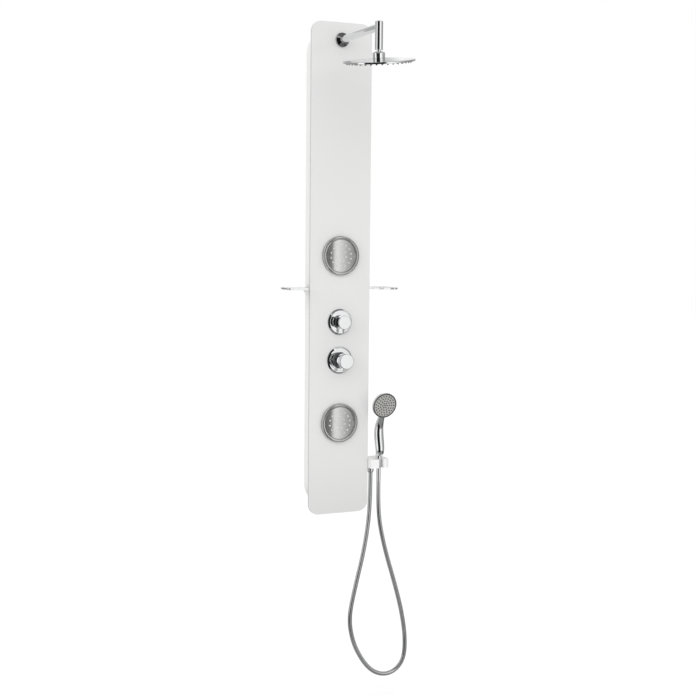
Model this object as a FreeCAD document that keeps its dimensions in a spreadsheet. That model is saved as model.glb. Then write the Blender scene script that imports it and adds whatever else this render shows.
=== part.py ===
import FreeCAD, Part
import math
import os
import re

import Sketcher

# Shower panel column. X runs to the right, Y into the wall and Z up; the wall is the plane Y = 0, and the
# origin is the middle of the wall screws, on the centre line at half the height of the front plate.
# All sizes are millimetres and degrees. A height is measured from the origin, a stand-off from the wall.

V = FreeCAD.Vector
document = FreeCAD.newDocument("shower_panel_column")
sheet = document.addObject("Spreadsheet::Sheet", "sizes")

DRIVING = {
    # front plate and the casing behind it
    "panelWidth": 200, "panelHeight": 1500, "panelCorner": 33, "glassThickness": 6,
    "bondThickness": 1, "bondWidth": 12, "bondInset": 2,
    "casingInset": 10, "casingEndInset": 20, "casingWall": 2, "casingCorner": 70,
    "casingGap": 3, "casingDepth": 55,
    # hanging on the wall
    "bracketHeight": 575, "bracketWidth": 140, "bracketHalf": 22, "sheetThickness": 2.5, "holePlay": 0.5,
    "hookGap": 7.5, "hookRise": 12, "railBack": 3.8, "railDrop": 42, "railLipStart": 3,
    "screwSpacing": 100, "screwHoleRadius": 2.75,
    # heights of what shows on the front
    "armHeight": 698, "upperJetHeight": 48.5, "diverterHeight": -154.3,
    "mixerHeight": -272.4, "lowerJetHeight": -467, "shelfHeight": -51, "outletHeight": -600,
    # plumbing inside the casing
    "pipeDepth": 29, "laneOffset": 70, "riserRadius": 7, "feedRadius": 6, "pipeWall": 1,
    "seatGap": 0.05, "seatDepth": 9, "portSpacing": 20, "channelRadius": 3.5, "laneClear": 1.5,
    "laneStep": 34, "laneReturn": 173, "pipeBend": 18, "riserEntry": 20, "riserSlope": 22,
    # brass bodies of the diverter and the mixer
    "diverterHalfWidth": 32, "diverterHalfHeight": 20, "diverterBack": 12, "diverterDepth": 38,
    "diverterSocketRadius": 13, "diverterSocketFront": 70, "diverterBoreRadius": 9,
    "diverterBoreBack": 20, "spindleRadius": 4.95, "spindleBack": 40, "spindleFront": 98,
    "mixerHalfWidth": 52, "mixerBarrelRadius": 21, "mixerSocketRadius": 22.5, "mixerSocketFront": 67,
    "cartridgeRadius": 17.5, "cartridgeBack": 32, "cartridgeFront": 60, "lockRingBore": 12,
    "lockRingFront": 66, "carrierRadius": 10.9, "carrierBack": 50, "carrierBore": 6.2,
    "pivotDepth": 56, "pivotPinRadius": 1.2, "pivotPinInset": 0.3, "stemRadius": 4, "stemBack": 52,
    "stemFront": 92, "linkPortDrop": 12,
    "inletSpacing": 76, "unionRadius": 10, "unionBack": 1.5, "unionFront": 20, "flangeRadius": 14,
    "flangeFront": 7, "inletThreadRadius": 9.3, "inletThreadFront": 13, "valveRadius": 6.95,
    "bossRadius": 11, "bossRise": 28,
    # trims and knobs
    "lockNutWall": 5, "diverterNutFront": 69, "mixerNutFront": 67.5, "threadGap": 0.05,
    "diverterRosetteRadius": 40, "diverterRosetteFront": 72, "mixerRosetteRadius": 41.5,
    "mixerRingOuter": 31.5, "mixerRingInner": 25.5, "mixerRingFront": 72, "mixerRosetteStep": 69.8,
    "rosetteEdge": 2.4, "rosetteSkin": 1.6, "rosetteNutGap": 1, "rosetteNutClear": 0.4,
    "diverterKnobRadius": 21.5, "diverterKnobNeck": 16, "diverterKnobBack": 72.5,
    "diverterKnobStep": 83, "diverterKnobFront": 104,
    "mixerKnobRadius": 23.5, "mixerKnobNeck": 19, "mixerKnobBack": 73, "mixerKnobFlare": 79.8,
    "mixerKnobMouth": 14, "mixerGrooveBack": 92, "mixerGrooveFront": 94, "grooveDepth": 1.6,
    "mixerKnobFront": 122, "knobRound": 2.2, "knobFit": 0.05,
    "leverRadius": 4.2, "leverLength": 24, "leverOut": 12.5, "diverterLeverDepth": 94,
    "mixerLeverDepth": 101, "grubRadius": 2, "diverterGrubDepth": 78, "mixerGrubDepth": 86,
    # arm, drop pipe and ball joint
    "armReach": 256, "armRadius": 11, "armBoreRadius": 8.5, "armThreadRadius": 9, "armThreadBack": 56,
    "armShoulder": 73, "elbowRadius": 13, "elbowNeckRadius": 12.5, "elbowNeckFront": 72,
    "elbowDrop": 28, "elbowRise": 15, "armNutRadius": 18, "armNutFront": 69.5,
    "armRosetteRadius": 21.5, "armRosetteFront": 78, "dropRadius": 11.5, "dropRise": 16,
    "dropBottom": 47, "capThickness": 2, "stemCollarBottom": 64.5, "stemSpigotRise": 10,
    "ballDrop": 80, "ballRadius": 10, "neckRadius": 5.5, "ballBoreRadius": 3.5,
    "ballNutRadius": 18, "ballNutRise": 11, "ballNutDrop": 5.5, "nutMouthRadius": 10.4,
    "nutThroatRadius": 8.9, "nutThroatRise": 8.1, "nutThreadRadius": 15, "nutThreadRise": -0.5,
    "nutRound": 5, "seatThickness": 1.95, "seatPlay": 0.05, "seatTop": 6, "seatBottom": -2.5,
    "sealTop": -5.6, "sealBottom": -9.2, "headTilt": 9.5, "headSide": -7.25,
    "zoneMargin": 1,
    # rain head
    "headRadius": 104, "headTop": -6, "headRimTop": -12, "headRimBottom": -17.5, "headSkin": 1.5,
    "headNeckBore": 5, "headBossBottom": -13, "headFaceThickness": 1.2, "headFaceLip": 2,
    "headRound": 1.6, "rainMatThickness": 1.5, "rainRings": 6, "rainRingStep": 6, "rainPitch": 15.3,
    "rainNozzleRadius": 1.9, "rainNozzleOut": 4, "rainHolePlay": 0.1,
    # body jets
    "jetCupRadius": 46, "jetCupBack": 38, "jetCupWall": 3, "jetFlangeRadius": 57, "jetFlangeFront": 67,
    "jetNutRadius": 55, "jetNutBack": 49, "jetPortRadius": 10, "jetPortBack": 18, "jetMatRadius": 45,
    "jetMatFront": 68.5, "jetFaceRadius": 52, "jetFaceFront": 72, "jetBezelRadius": 60,
    "jetBezelFront": 76, "jetBezelPlay": 0.1, "jetBezelRound": 3.6, "jetBezelLip": 1,
    "jetBezelSlope": 3, "jetNozzleFront": 73.6, "jetNozzleRadius": 2.5,
    "jetOuterRing": 34, "jetInnerRing": 17, "jetOuterCount": 14,
    "jetInnerCount": 7, "jetOuterStart": 10.5, "jetInnerStart": 39.5,
    # glass shelves and their clips
    "shelfReach": 180, "shelfThickness": 6, "shelfBack": 15, "shelfFront": 115, "shelfSweep": 124,
    "shelfCorner": 18,
    "clipReach": 104, "clipBack": 20, "clipFront": 55, "clipDrop": 12, "clipLip": 2, "clipBase": 2.5,
    "panelClear": 1.2, "clipScrewRadius": 1.5, "clipScrewHead": 3, "clipScrewDrop": 7.5,
    "clipScrewBack": 28, "clipScrewFront": 46, "clipScrewLength": 9, "clipScrewHeadHeight": 1.6,
    # handset bracket with the water outlet
    "blockReach": 165, "blockBack": 18, "blockFront": 89, "blockTop": 14, "blockBottom": 14,
    "blockCorner": 12, "outletAcross": 122, "outletDepth": 40, "outletPipeRadius": 9,
    "outletBore": 5, "outletThreadDrop": 24, "socketAcross": 136, "socketDepth": 69,
    "coneTopRadius": 10.3, "coneBottomRadius": 8.2, "coneGap": 0.08, "slotWidth": 15,
    "blockScrewRadius": 2.5, "blockScrewHead": 4.5, "blockScrewLength": 16, "blockScrewBack": 26,
    "blockScrewFront": 50.9, "blockScrewRise": 9, "blockScrewHeadHeight": 2.5,
    # hose and its ends
    "hoseRadius": 6.75, "hoseBore": 4.5, "hoseGroove": 0.9, "hoseRibs": 190, "hoseBendShare": 0.45,
    "outletNutRadius": 10.4, "outletNutTop": -617.5, "outletNutBottom": -634, "outletNutTaper": 4,
    "outletNutLip": 0.6, "washerThickness": 2,
    "ferruleRadius": 6.9, "ferruleBottom": -659,
    # handset
    "collarGap": 0.3, "collarTop": -578, "collarRadius": 10.8, "collarGroove": 1.2, "collarBand": 3,
    "handleBulgeHeight": -513, "handleBulge": 15, "handleTopHeight": -452, "handleTop": 10,
    "handleTopDepth": 86, "handleEndHeight": -428, "handleEnd": 7, "handleEndDepth": 94,
    "faceHeight": -413, "faceDepth": 103, "faceTilt": 13, "faceRadius": 40, "domeDepth": 15,
    "rimDepth": 6, "faceWall": 2.5, "handleBore": 5, "sprayFaceThickness": 2, "sprayMatThickness": 1.5,
    "sprayNozzleRadius": 1.1, "sprayNozzleOut": 1, "sprayRings": 4, "sprayRingStep": 5, "sprayPitch": 7.6,
    "sprayHolePlay": 0.1, "handsetRound": 1.2, "cavityDepth": 5,
}

for row, (word, value) in enumerate(DRIVING.items(), start=1):
    sheet.set(f"A{row}", word)
    sheet.set(f"B{row}", str(value))
    sheet.setAlias(f"B{row}", word)
document.recompute()

# Places that follow from the driving sizes
CASING_FRONT = "(casingGap + casingDepth)"
CASING_INSIDE = "(casingGap + casingDepth - casingWall)"
GLASS_BACK = "(casingGap + casingDepth + bondThickness)"
FRONT = "(casingGap + casingDepth + bondThickness + glassThickness)"
CASING_HALF = "(panelWidth/2 - casingInset)"
INNER_HALF = "(panelWidth/2 - casingInset - casingWall)"
CASING_HALF_HEIGHT = "(panelHeight/2 - casingEndInset)"
ARM_END = f"({FRONT} + armReach)"
BALL_HEIGHT = "(armHeight - ballDrop)"
BLOCK_TOP = "(outletHeight + blockTop)"
BLOCK_BOTTOM = "(outletHeight - blockBottom)"
# The casing's side is straight where the outlet's block is screwed to it
CASING_ROUND = f"min(casingCorner; {CASING_HALF_HEIGHT} + {BLOCK_BOTTOM})"
BLOCK_SCREWS = [("blockScrewBack", "0"), ("blockScrewFront", "blockScrewRise")]
CLIP_SCREWS = ["clipScrewBack", "clipScrewFront"]

# How near two lengths have to be to count as the same, and a direction to count as upright
CLOSE = 0.01
UPRIGHT = 0.99

TURNED_TO = {
    "up": FreeCAD.Rotation(),
    "front": FreeCAD.Rotation(V(1, 0, 0), 90),
    "side": FreeCAD.Rotation(V(0, -1, 0), V(0, 0, 1), V(-1, 0, 0), "XYZ"),
}


def size(word):
    return float(sheet.get(word))


def bound(expression):
    """The expression with each of the sheet's words written as a reference to its cell."""
    return re.sub(r"[A-Za-z]\w*", lambda found: f"sizes.{found[0]}" if found[0] in DRIVING else found[0],
                  str(expression))


def bind(thing, **expressions):
    for place, expression in expressions.items():
        thing.setExpression(place.replace("__", "."), bound(expression))


def free_name(stem):
    return f"{stem}_{len(document.Objects)}"


# ---------------------------------------------------------------- building blocks

def start(label, facing="up", at=(0, 0, 0)):
    """An empty piece. Facing front, its own X, Y and Z are the panel's X, height and stand-off."""
    piece = document.addObject("PartDesign::Body", label)
    piece.Label = label
    piece.Placement = FreeCAD.Placement(V(), TURNED_TO[facing])
    bind(piece, Placement__Base__x=at[0], Placement__Base__y=at[1], Placement__Base__z=at[2])
    return piece


def origin_part(piece, role):
    return next(part for part in piece.Origin.OriginFeatures if part.Role == role)


def sketch_on(piece, plane, lift):
    sketch = piece.newObject("Sketcher::SketchObject", free_name("outline"))
    sketch.AttachmentSupport = [(origin_part(piece, plane), "")]
    sketch.MapMode = "FlatFace"
    bind(sketch, AttachmentOffset__Base__z=lift)
    return sketch


def hold(sketch, kind, *where_and_size):
    """One dimension of a sketch, bound to its expression."""
    *where, expression = where_and_size
    number = sketch.addConstraint(Sketcher.Constraint(kind, *where, 1.0))
    sketch.setExpression(f"Constraints[{number}]", bound(expression))


def polygon(piece, points, plane="XY_Plane", lift=0):
    """A closed outline through points given as pairs of expressions."""
    sketch = sketch_on(piece, plane, lift)
    count = len(points)
    ring = [V(math.cos(2 * math.pi * i / count), math.sin(2 * math.pi * i / count)) for i in range(count)]
    sides = [Part.LineSegment(a, b) for a, b in zip(ring, ring[1:] + ring[:1])]
    sketch.addGeometry(sides, False)
    sketch.addConstraint([Sketcher.Constraint("Coincident", i, 2, (i + 1) % count, 1) for i in range(count)])
    for corner, (across, along) in enumerate(points):
        hold(sketch, "DistanceX", -1, 1, corner, 1, across)
        hold(sketch, "DistanceY", -1, 1, corner, 1, along)
    return sketch


def circles(piece, rounds, lift=0):
    """A sketch of circles, each given as two centre expressions and a radius."""
    sketch = sketch_on(piece, "XY_Plane", lift)
    for across, along, radius in rounds:
        ring = sketch.addGeometry(Part.Circle(V(1, 1), V(0, 0, 1), 1), False)
        hold(sketch, "DistanceX", -1, 1, ring, 3, across)
        hold(sketch, "DistanceY", -1, 1, ring, 3, along)
        hold(sketch, "Radius", ring, radius)
    return sketch


def rectangle(left, right, low, high):
    return [(left, low), (right, low), (right, high), (left, high)]


def extrude(piece, shape, low, high, cut=False):
    """The outline or circles made solid, or cut away, from one level of the piece's own Z to another."""
    maker = circles if len(shape[0]) == 3 else polygon
    feature = piece.newObject("PartDesign::Pocket" if cut else "PartDesign::Pad", free_name("layer"))
    feature.Profile = maker(piece, shape, lift=low)
    feature.Reversed = cut
    bind(feature, Length=f"({high}) - ({low})")
    document.recompute()
    return feature


def turned(piece, profile, cut=False):
    """A profile of (radius, level) points, turned about the piece's own Z."""
    kind = "Groove" if cut else "Revolution"
    feature = piece.newObject(f"PartDesign::{kind}", free_name("turning"))
    feature.Profile = polygon(piece, profile, plane="XZ_Plane")
    feature.ReferenceAxis = (feature.Profile[0], ["V_Axis"])
    feature.Angle = 360
    document.recompute()
    return feature


def tube(inner, outer, low, high):
    return [(inner, low), (outer, low), (outer, high), (inner, high)]


def rod(piece, at, towards, radius, length, cut=False):
    """A cylinder from a point along a direction of the piece's own frame."""
    kind = "Subtractive" if cut else "Additive"
    feature = piece.newObject(f"PartDesign::{kind}Cylinder", free_name("rod"))
    feature.Placement = FreeCAD.Placement(V(), FreeCAD.Rotation(V(0, 0, 1), V(*towards)))
    bind(feature, Radius=radius, Height=length)
    bind(feature, Placement__Base__x=at[0], Placement__Base__y=at[1], Placement__Base__z=at[2])
    document.recompute()
    return feature


def ball(piece, radius, at=(0, 0, 0), cut=False):
    kind = "Subtractive" if cut else "Additive"
    feature = piece.newObject(f"PartDesign::{kind}Sphere", free_name("ball"))
    bind(feature, Radius=radius)
    bind(feature, Placement__Base__x=at[0], Placement__Base__y=at[1], Placement__Base__z=at[2])
    document.recompute()
    return feature


def soften(piece, radius, picked):
    """Round the edges of the piece that the test picks."""
    base = piece.Tip
    names = [f"Edge{i}" for i, edge in enumerate(base.Shape.Edges, start=1) if picked(edge)]
    if not names:
        raise RuntimeError(f"{piece.Label} has no edge to round")
    rounding = piece.newObject("PartDesign::Fillet", free_name("rounding"))
    rounding.Base = (base, names)
    bind(rounding, Radius=radius)
    document.recompute()
    return rounding


def upright_at(half_width):
    """Straight edges along the piece's Z, at this distance from its middle plane."""
    def picked(edge):
        if edge.Curve.TypeId != "Part::GeomLine" or abs(edge.tangentAt(edge.FirstParameter).z) < UPRIGHT:
            return False
        return abs(abs(edge.Vertexes[0].X) - half_width) < CLOSE
    return picked


def ring_edge(radius, level):
    """The round edge about the piece's Z with this radius and level."""
    def picked(edge):
        if edge.Curve.TypeId != "Part::GeomCircle":
            return False
        middle = edge.Curve.Center
        misses = (math.hypot(middle.x, middle.y), edge.Curve.Radius - radius, middle.z - level)
        return all(abs(miss) < CLOSE for miss in misses)
    return picked


def ring_of(piece, feature, count):
    """Copies of one feature spaced evenly about the piece's Z."""
    pattern = piece.newObject("PartDesign::PolarPattern", free_name("ring"))
    pattern.Originals = [feature]
    pattern.Axis = (origin_part(piece, "Z_Axis"), [""])
    pattern.Angle = 360
    bind(pattern, Occurrences=count)
    piece.Tip = pattern
    document.recompute()
    return pattern


def ring_piece(label, inner, outer, back, front, height, facing="front", at=None):
    """A plain turned ring, such as a nut, a washer or a seal."""
    piece = start(label, facing, at or (0, 0, height))
    turned(piece, tube(inner, outer, back, front))
    return piece


# ---------------------------------------------------------------- plate, casing and wall brackets

def front_openings(piece, low, high):
    """The holes that the fittings on the front pass through, alike in the plate and in the casing."""
    rounds = [(0, "armHeight", "elbowNeckRadius + holePlay"),
              (0, "diverterHeight", "diverterSocketRadius + holePlay"),
              (0, "mixerHeight", "mixerSocketRadius + holePlay"),
              (0, "upperJetHeight", "jetCupRadius + holePlay"),
              (0, "lowerJetHeight", "jetCupRadius + holePlay")]
    extrude(piece, rounds, low, high, cut=True)


def front_plate():
    piece = start("front_plate", "front")
    extrude(piece, rectangle("-panelWidth/2", "panelWidth/2", "-panelHeight/2", "panelHeight/2"),
            GLASS_BACK, FRONT)
    soften(piece, "panelCorner", upright_at(size("panelWidth") / 2))
    front_openings(piece, GLASS_BACK, FRONT)


def bonding_strip():
    piece = start("bonding_strip", "front")
    half, rise = f"({CASING_HALF} - bondInset)", f"({CASING_HALF_HEIGHT} - bondInset)"
    extrude(piece, rectangle(f"-{half}", half, f"-{rise}", rise), CASING_FRONT, GLASS_BACK)
    half, rise = f"({half} - bondWidth)", f"({rise} - bondWidth)"
    extrude(piece, rectangle(f"-{half}", half, f"-{rise}", rise), CASING_FRONT, GLASS_BACK, cut=True)
    width = size("panelWidth") / 2 - size("casingInset") - size("bondInset")
    soften(piece, f"{CASING_ROUND} - bondInset - bondWidth", upright_at(width - size("bondWidth")))
    soften(piece, f"{CASING_ROUND} - bondInset", upright_at(width))


def rear_casing():
    piece = start("rear_casing", "front")
    half, rise = CASING_HALF, CASING_HALF_HEIGHT
    extrude(piece, rectangle(f"-{half}", half, f"-{rise}", rise), "casingGap", CASING_FRONT)
    width = size("panelWidth") / 2 - size("casingInset")
    soften(piece, CASING_ROUND, upright_at(width))
    half, rise, bend = INNER_HALF, f"({CASING_HALF_HEIGHT} - casingWall)", f"({CASING_ROUND} - casingWall)"
    hollow = [rectangle(f"-({half} - {bend})", f"{half} - {bend}", f"-{rise}", rise),
              rectangle(f"-{half}", half, f"-({rise} - {bend})", f"{rise} - {bend}")]
    hollow += [[(f"{side}({half} - {bend})", f"{end}({rise} - {bend})", bend)]
               for side in ("", "-") for end in ("", "-")]
    for part in hollow:
        extrude(piece, part, "casingGap", CASING_INSIDE, cut=True)
    front_openings(piece, CASING_INSIDE, CASING_FRONT)
    rod(piece, (INNER_HALF, "outletHeight", "outletDepth"), (1, 0, 0),
        "outletPipeRadius + laneClear", "casingWall", cut=True)
    for side, way in (("", (1, 0, 0)), ("-", (-1, 0, 0))):
        for depth in CLIP_SCREWS:
            rod(piece, (f"{side}{INNER_HALF}", "shelfHeight - clipScrewDrop", depth), way,
                "clipScrewRadius", "casingWall", cut=True)
    for depth, rise in BLOCK_SCREWS:
        rod(piece, (INNER_HALF, f"outletHeight + {rise}", depth), (1, 0, 0), "blockScrewRadius",
            "casingWall", cut=True)


def wall_bracket(label, height):
    """A Z-shaped hook plate, screwed to the wall."""
    piece = start(label, "side", (0, 0, height))
    tip, hook = "(bracketHalf + hookRise)", "(hookGap + sheetThickness)"
    outline = [(0, "-bracketHalf"), ("sheetThickness", "-bracketHalf"),
               ("sheetThickness", "bracketHalf - sheetThickness"), (hook, "bracketHalf - sheetThickness"),
               (hook, tip), ("hookGap", tip), ("hookGap", "bracketHalf"), (0, "bracketHalf")]
    extrude(piece, outline, "-bracketWidth/2", "bracketWidth/2")
    for side in ("", "-"):
        rod(piece, (0, 0, f"{side}screwSpacing/2"), (1, 0, 0), "screwHoleRadius", "sheetThickness",
            cut=True)


def cross_rail(label, height, lane, pipe_radius):
    """The rail in the casing that hangs on the hook plate, with a hole for the pipe that runs past it."""
    piece = start(label, "side", (0, 0, height))
    tip = "(bracketHalf + hookRise)"
    lip, web = "(railBack + sheetThickness)", f"({CASING_INSIDE} - sheetThickness)"
    outline = [("railBack", "bracketHalf + railLipStart"), (lip, "bracketHalf + railLipStart"),
               (lip, tip), (web, tip), (web, f"{tip} - railDrop"), (CASING_INSIDE, f"{tip} - railDrop"),
               (CASING_INSIDE, f"{tip} + sheetThickness"), ("railBack", f"{tip} + sheetThickness")]
    extrude(piece, outline, f"-{INNER_HALF}", INNER_HALF)
    rod(piece, ("pipeDepth", tip, lane), (0, 1, 0), f"{pipe_radius} + laneClear", "sheetThickness",
        cut=True)


# ---------------------------------------------------------------- brass bodies and what turns in them

def diverter_body():
    piece = start("diverter_body", "front", (0, 0, "diverterHeight"))
    half, rise = "diverterHalfWidth", "diverterHalfHeight"
    front = "(diverterBack + diverterDepth)"
    extrude(piece, rectangle(f"-{half}", half, f"-{rise}", rise), "diverterBack", front)
    extrude(piece, [(0, 0, "diverterSocketRadius")], front, "diverterSocketFront")
    extrude(piece, [(0, 0, "diverterBoreRadius + seatGap")], "diverterBoreBack", "diverterSocketFront",
            cut=True)
    ports = [("-portSpacing", 1, "riserRadius"), ("portSpacing", 1, "feedRadius"),
             ("-portSpacing", -1, "feedRadius"), ("portSpacing", -1, "feedRadius"), (0, -1, "riserRadius")]
    for across, way, radius in ports:
        seat = f"{way}*(diverterHalfHeight - seatDepth)"
        rod(piece, (across, seat, "pipeDepth"), (0, way, 0), f"{radius} + seatGap", "seatDepth", cut=True)
        rod(piece, (across, 0, "pipeDepth"), (0, way, 0), "channelRadius", "diverterHalfHeight - seatDepth",
            cut=True)
    rod(piece, ("-portSpacing", 0, "pipeDepth"), (1, 0, 0), "channelRadius", "2*portSpacing", cut=True)


def mixer_body():
    piece = start("mixer_body", "front", (0, 0, "mixerHeight"))
    rod(piece, ("-mixerHalfWidth", 0, "pipeDepth"), (1, 0, 0), "mixerBarrelRadius", "2*mixerHalfWidth")
    extrude(piece, [(0, 0, "mixerSocketRadius")], "pipeDepth", "mixerSocketFront")
    rod(piece, (0, 0, "pipeDepth"), (0, 1, 0), "bossRadius", "bossRise")
    extrude(piece, [(0, 0, "cartridgeRadius + seatGap")], "cartridgeBack", "mixerSocketFront", cut=True)
    rod(piece, (0, "bossRise - linkPortDrop", "pipeDepth"), (0, 1, 0), "riserRadius - pipeWall",
        "linkPortDrop", cut=True)
    rod(piece, (0, "bossRise - seatDepth", "pipeDepth"), (0, 1, 0), "riserRadius + seatGap",
        "seatDepth", cut=True)
    for side in ("", "-"):
        inlet = f"{side}inletSpacing/2"
        extrude(piece, [(inlet, 0, "unionRadius + seatGap")], 0, "unionFront", cut=True)


def mixer_insides():
    piece = start("mixer_cartridge", "front", (0, 0, "mixerHeight"))
    turned(piece, [(0, "cartridgeBack"), ("cartridgeRadius", "cartridgeBack"),
                   ("cartridgeRadius", "cartridgeFront"), ("carrierRadius + seatGap", "cartridgeFront"),
                   ("carrierRadius + seatGap", "carrierBack"), (0, "carrierBack")])
    ring_piece("mixer_lock_ring", "lockRingBore", "cartridgeRadius", "cartridgeFront", "lockRingFront",
               "mixerHeight")
    carrier = ring_piece("mixer_carrier", "carrierBore", "carrierRadius", "carrierBack + seatGap",
                         "cartridgeFront", "mixerHeight")
    rod(carrier, ("-carrierRadius", 0, "pivotDepth"), (1, 0, 0), "pivotPinRadius", "2*carrierRadius",
        cut=True)
    pin = start("mixer_pivot_pin", "front", (0, 0, "mixerHeight"))
    rod(pin, ("pivotPinInset - carrierRadius", 0, "pivotDepth"), (1, 0, 0), "pivotPinRadius",
        "2*(carrierRadius - pivotPinInset)")
    stem = start("mixer_stem", "front", (0, 0, "mixerHeight"))
    turned(stem, tube(0, "stemRadius", "stemBack", "stemFront"))
    rod(stem, ("-stemRadius", 0, "pivotDepth"), (1, 0, 0), "pivotPinRadius + seatGap", "2*stemRadius",
        cut=True)
    ring_piece("mixer_lock_nut", "mixerSocketRadius + threadGap",
               "mixerSocketRadius + lockNutWall", FRONT, "mixerNutFront", "mixerHeight")


def diverter_insides():
    piece = start("diverter_cartridge", "front", (0, 0, "diverterHeight"))
    turned(piece, [(0, "diverterBoreBack"), ("diverterBoreRadius", "diverterBoreBack"),
                   ("diverterBoreRadius", "diverterSocketFront"),
                   ("spindleRadius + seatGap", "diverterSocketFront"),
                   ("spindleRadius + seatGap", "spindleBack"), (0, "spindleBack")])
    spindle = start("diverter_spindle", "front", (0, 0, "diverterHeight"))
    turned(spindle, tube(0, "spindleRadius", "spindleBack + seatGap", "spindleFront"))
    ring_piece("diverter_lock_nut", "diverterSocketRadius + threadGap",
               "diverterSocketRadius + lockNutWall", FRONT, "diverterNutFront", "diverterHeight")


def inlets():
    """The two G1/2 unions at the back of the mixer, with a check valve in each."""
    for label, side in (("hot", "-"), ("cold", "")):
        at = (f"{side}inletSpacing/2", 0, "mixerHeight")
        union = start(f"{label}_inlet_union", "front", at)
        bore = "(valveRadius + seatGap)"
        turned(union, [("inletThreadRadius", "unionBack"), ("flangeRadius", "unionBack"),
                       ("flangeRadius", "flangeFront"), ("unionRadius", "flangeFront"),
                       ("unionRadius", "unionFront"), (bore, "unionFront"), (bore, "inletThreadFront"),
                       ("inletThreadRadius", "inletThreadFront")])
        valve = start(f"{label}_check_valve", "front", at)
        turned(valve, tube("valveRadius/2", "valveRadius", "inletThreadFront", "unionFront"))


# ---------------------------------------------------------------- knobs and their trims

def diverter_trim():
    rosette = start("diverter_rosette", "front", (0, 0, "diverterHeight"))
    hole = "(diverterSocketRadius + lockNutWall + rosetteNutGap)"
    turned(rosette, [(hole, "diverterRosetteFront - rosetteSkin"), (hole, "diverterRosetteFront"),
                     ("diverterRosetteRadius - 2*rosetteEdge", "diverterRosetteFront"),
                     ("diverterRosetteRadius", f"{FRONT} + rosetteEdge"), ("diverterRosetteRadius", FRONT),
                     ("diverterRosetteRadius - rosetteSkin", FRONT),
                     ("diverterRosetteRadius - rosetteSkin", f"{FRONT} + rosetteEdge - rosetteSkin/2"),
                     ("diverterRosetteRadius - 2*rosetteEdge - rosetteSkin/2",
                      "diverterRosetteFront - rosetteSkin")])
    shoulder = size("diverterRosetteRadius") - 2 * size("rosetteEdge")
    soften(rosette, "rosetteEdge", ring_edge(shoulder, size("diverterRosetteFront")))
    knob = start("diverter_knob", "front", (0, 0, "diverterHeight"))
    turned(knob, [(0, "spindleFront"), ("spindleRadius", "spindleFront"),
                  ("spindleRadius", "diverterKnobBack"), ("diverterKnobNeck", "diverterKnobBack"),
                  ("diverterKnobNeck", "diverterKnobStep"), ("diverterKnobRadius", "diverterKnobStep"),
                  ("diverterKnobRadius", "diverterKnobFront"), (0, "diverterKnobFront")])
    knob_holes(knob, "diverterKnobRadius", "diverterLeverDepth", "diverterKnobNeck", "diverterGrubDepth")
    for level in ("diverterKnobFront", "diverterKnobStep"):
        soften(knob, "knobRound", ring_edge(size("diverterKnobRadius"), size(level)))
    knob_pins("diverter", "diverterHeight", "diverterKnobRadius", "diverterLeverDepth",
              "spindleRadius", "diverterKnobNeck", "diverterGrubDepth")


def mixer_trim():
    rosette = start("mixer_rosette", "front", (0, 0, "mixerHeight"))
    under = "(mixerNutFront + rosetteNutClear)"
    turned(rosette, [("mixerRingInner", under), ("mixerRingInner", "mixerRingFront"),
                     ("mixerRingOuter", "mixerRingFront"), ("mixerRingOuter", "mixerRosetteStep"),
                     ("mixerRosetteRadius - 2*rosetteEdge", "mixerRosetteStep"),
                     ("mixerRosetteRadius", f"{FRONT} + rosetteEdge"), ("mixerRosetteRadius", FRONT),
                     ("mixerRosetteRadius - rosetteSkin", FRONT),
                     ("mixerRosetteRadius - rosetteSkin", f"{FRONT} + rosetteEdge - rosetteSkin/2"),
                     ("mixerRosetteRadius - 2*rosetteEdge - rosetteSkin/2", under)])
    soften(rosette, "rosetteEdge/3", ring_edge(size("mixerRingOuter"), size("mixerRingFront")))
    knob = start("mixer_knob", "front", (0, 0, "mixerHeight"))
    groove = "(mixerKnobNeck - grooveDepth)"
    turned(knob, [(0, "stemFront"), ("stemRadius", "stemFront"), ("stemRadius", "mixerKnobBack"),
                  ("mixerKnobMouth", "mixerKnobBack"), ("mixerKnobNeck", "mixerKnobFlare"),
                  ("mixerKnobNeck", "mixerGrooveBack"), (groove, "mixerGrooveBack"),
                  (groove, "mixerGrooveFront"), ("mixerKnobRadius", "mixerGrooveFront"),
                  ("mixerKnobRadius", "mixerKnobFront"), (0, "mixerKnobFront")])
    knob_holes(knob, "mixerKnobRadius", "mixerLeverDepth", "mixerKnobNeck", "mixerGrubDepth")
    for level in ("mixerKnobFront", "mixerGrooveFront"):
        soften(knob, "knobRound", ring_edge(size("mixerKnobRadius"), size(level)))
    knob_pins("mixer", "mixerHeight", "mixerKnobRadius", "mixerLeverDepth",
              "stemRadius", "mixerKnobNeck", "mixerGrubDepth")


def knob_holes(knob, radius, lever_depth, neck, grub_depth):
    """The blind hole of the lever, below, and the hole of the grub screw, above."""
    rod(knob, (0, f"-({radius} + leverOut - leverLength)", lever_depth), (0, -1, 0), "leverRadius + knobFit",
        "leverLength", cut=True)
    rod(knob, (0, 0, grub_depth), (0, 1, 0), "grubRadius", f"{neck} + grubRadius", cut=True)


def knob_pins(name, height, radius, lever_depth, core, neck, grub_depth):
    lever = start(f"{name}_lever", "front", (0, 0, height))
    rod(lever, (0, f"-({radius} + leverOut - leverLength)", lever_depth), (0, -1, 0), "leverRadius",
        "leverLength")
    screw = start(f"{name}_grub_screw", "front", (0, 0, height))
    rod(screw, (0, core, grub_depth), (0, 1, 0), "grubRadius", f"{neck} - {core} - knobRound")


# ---------------------------------------------------------------- arm and ball joint

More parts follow.
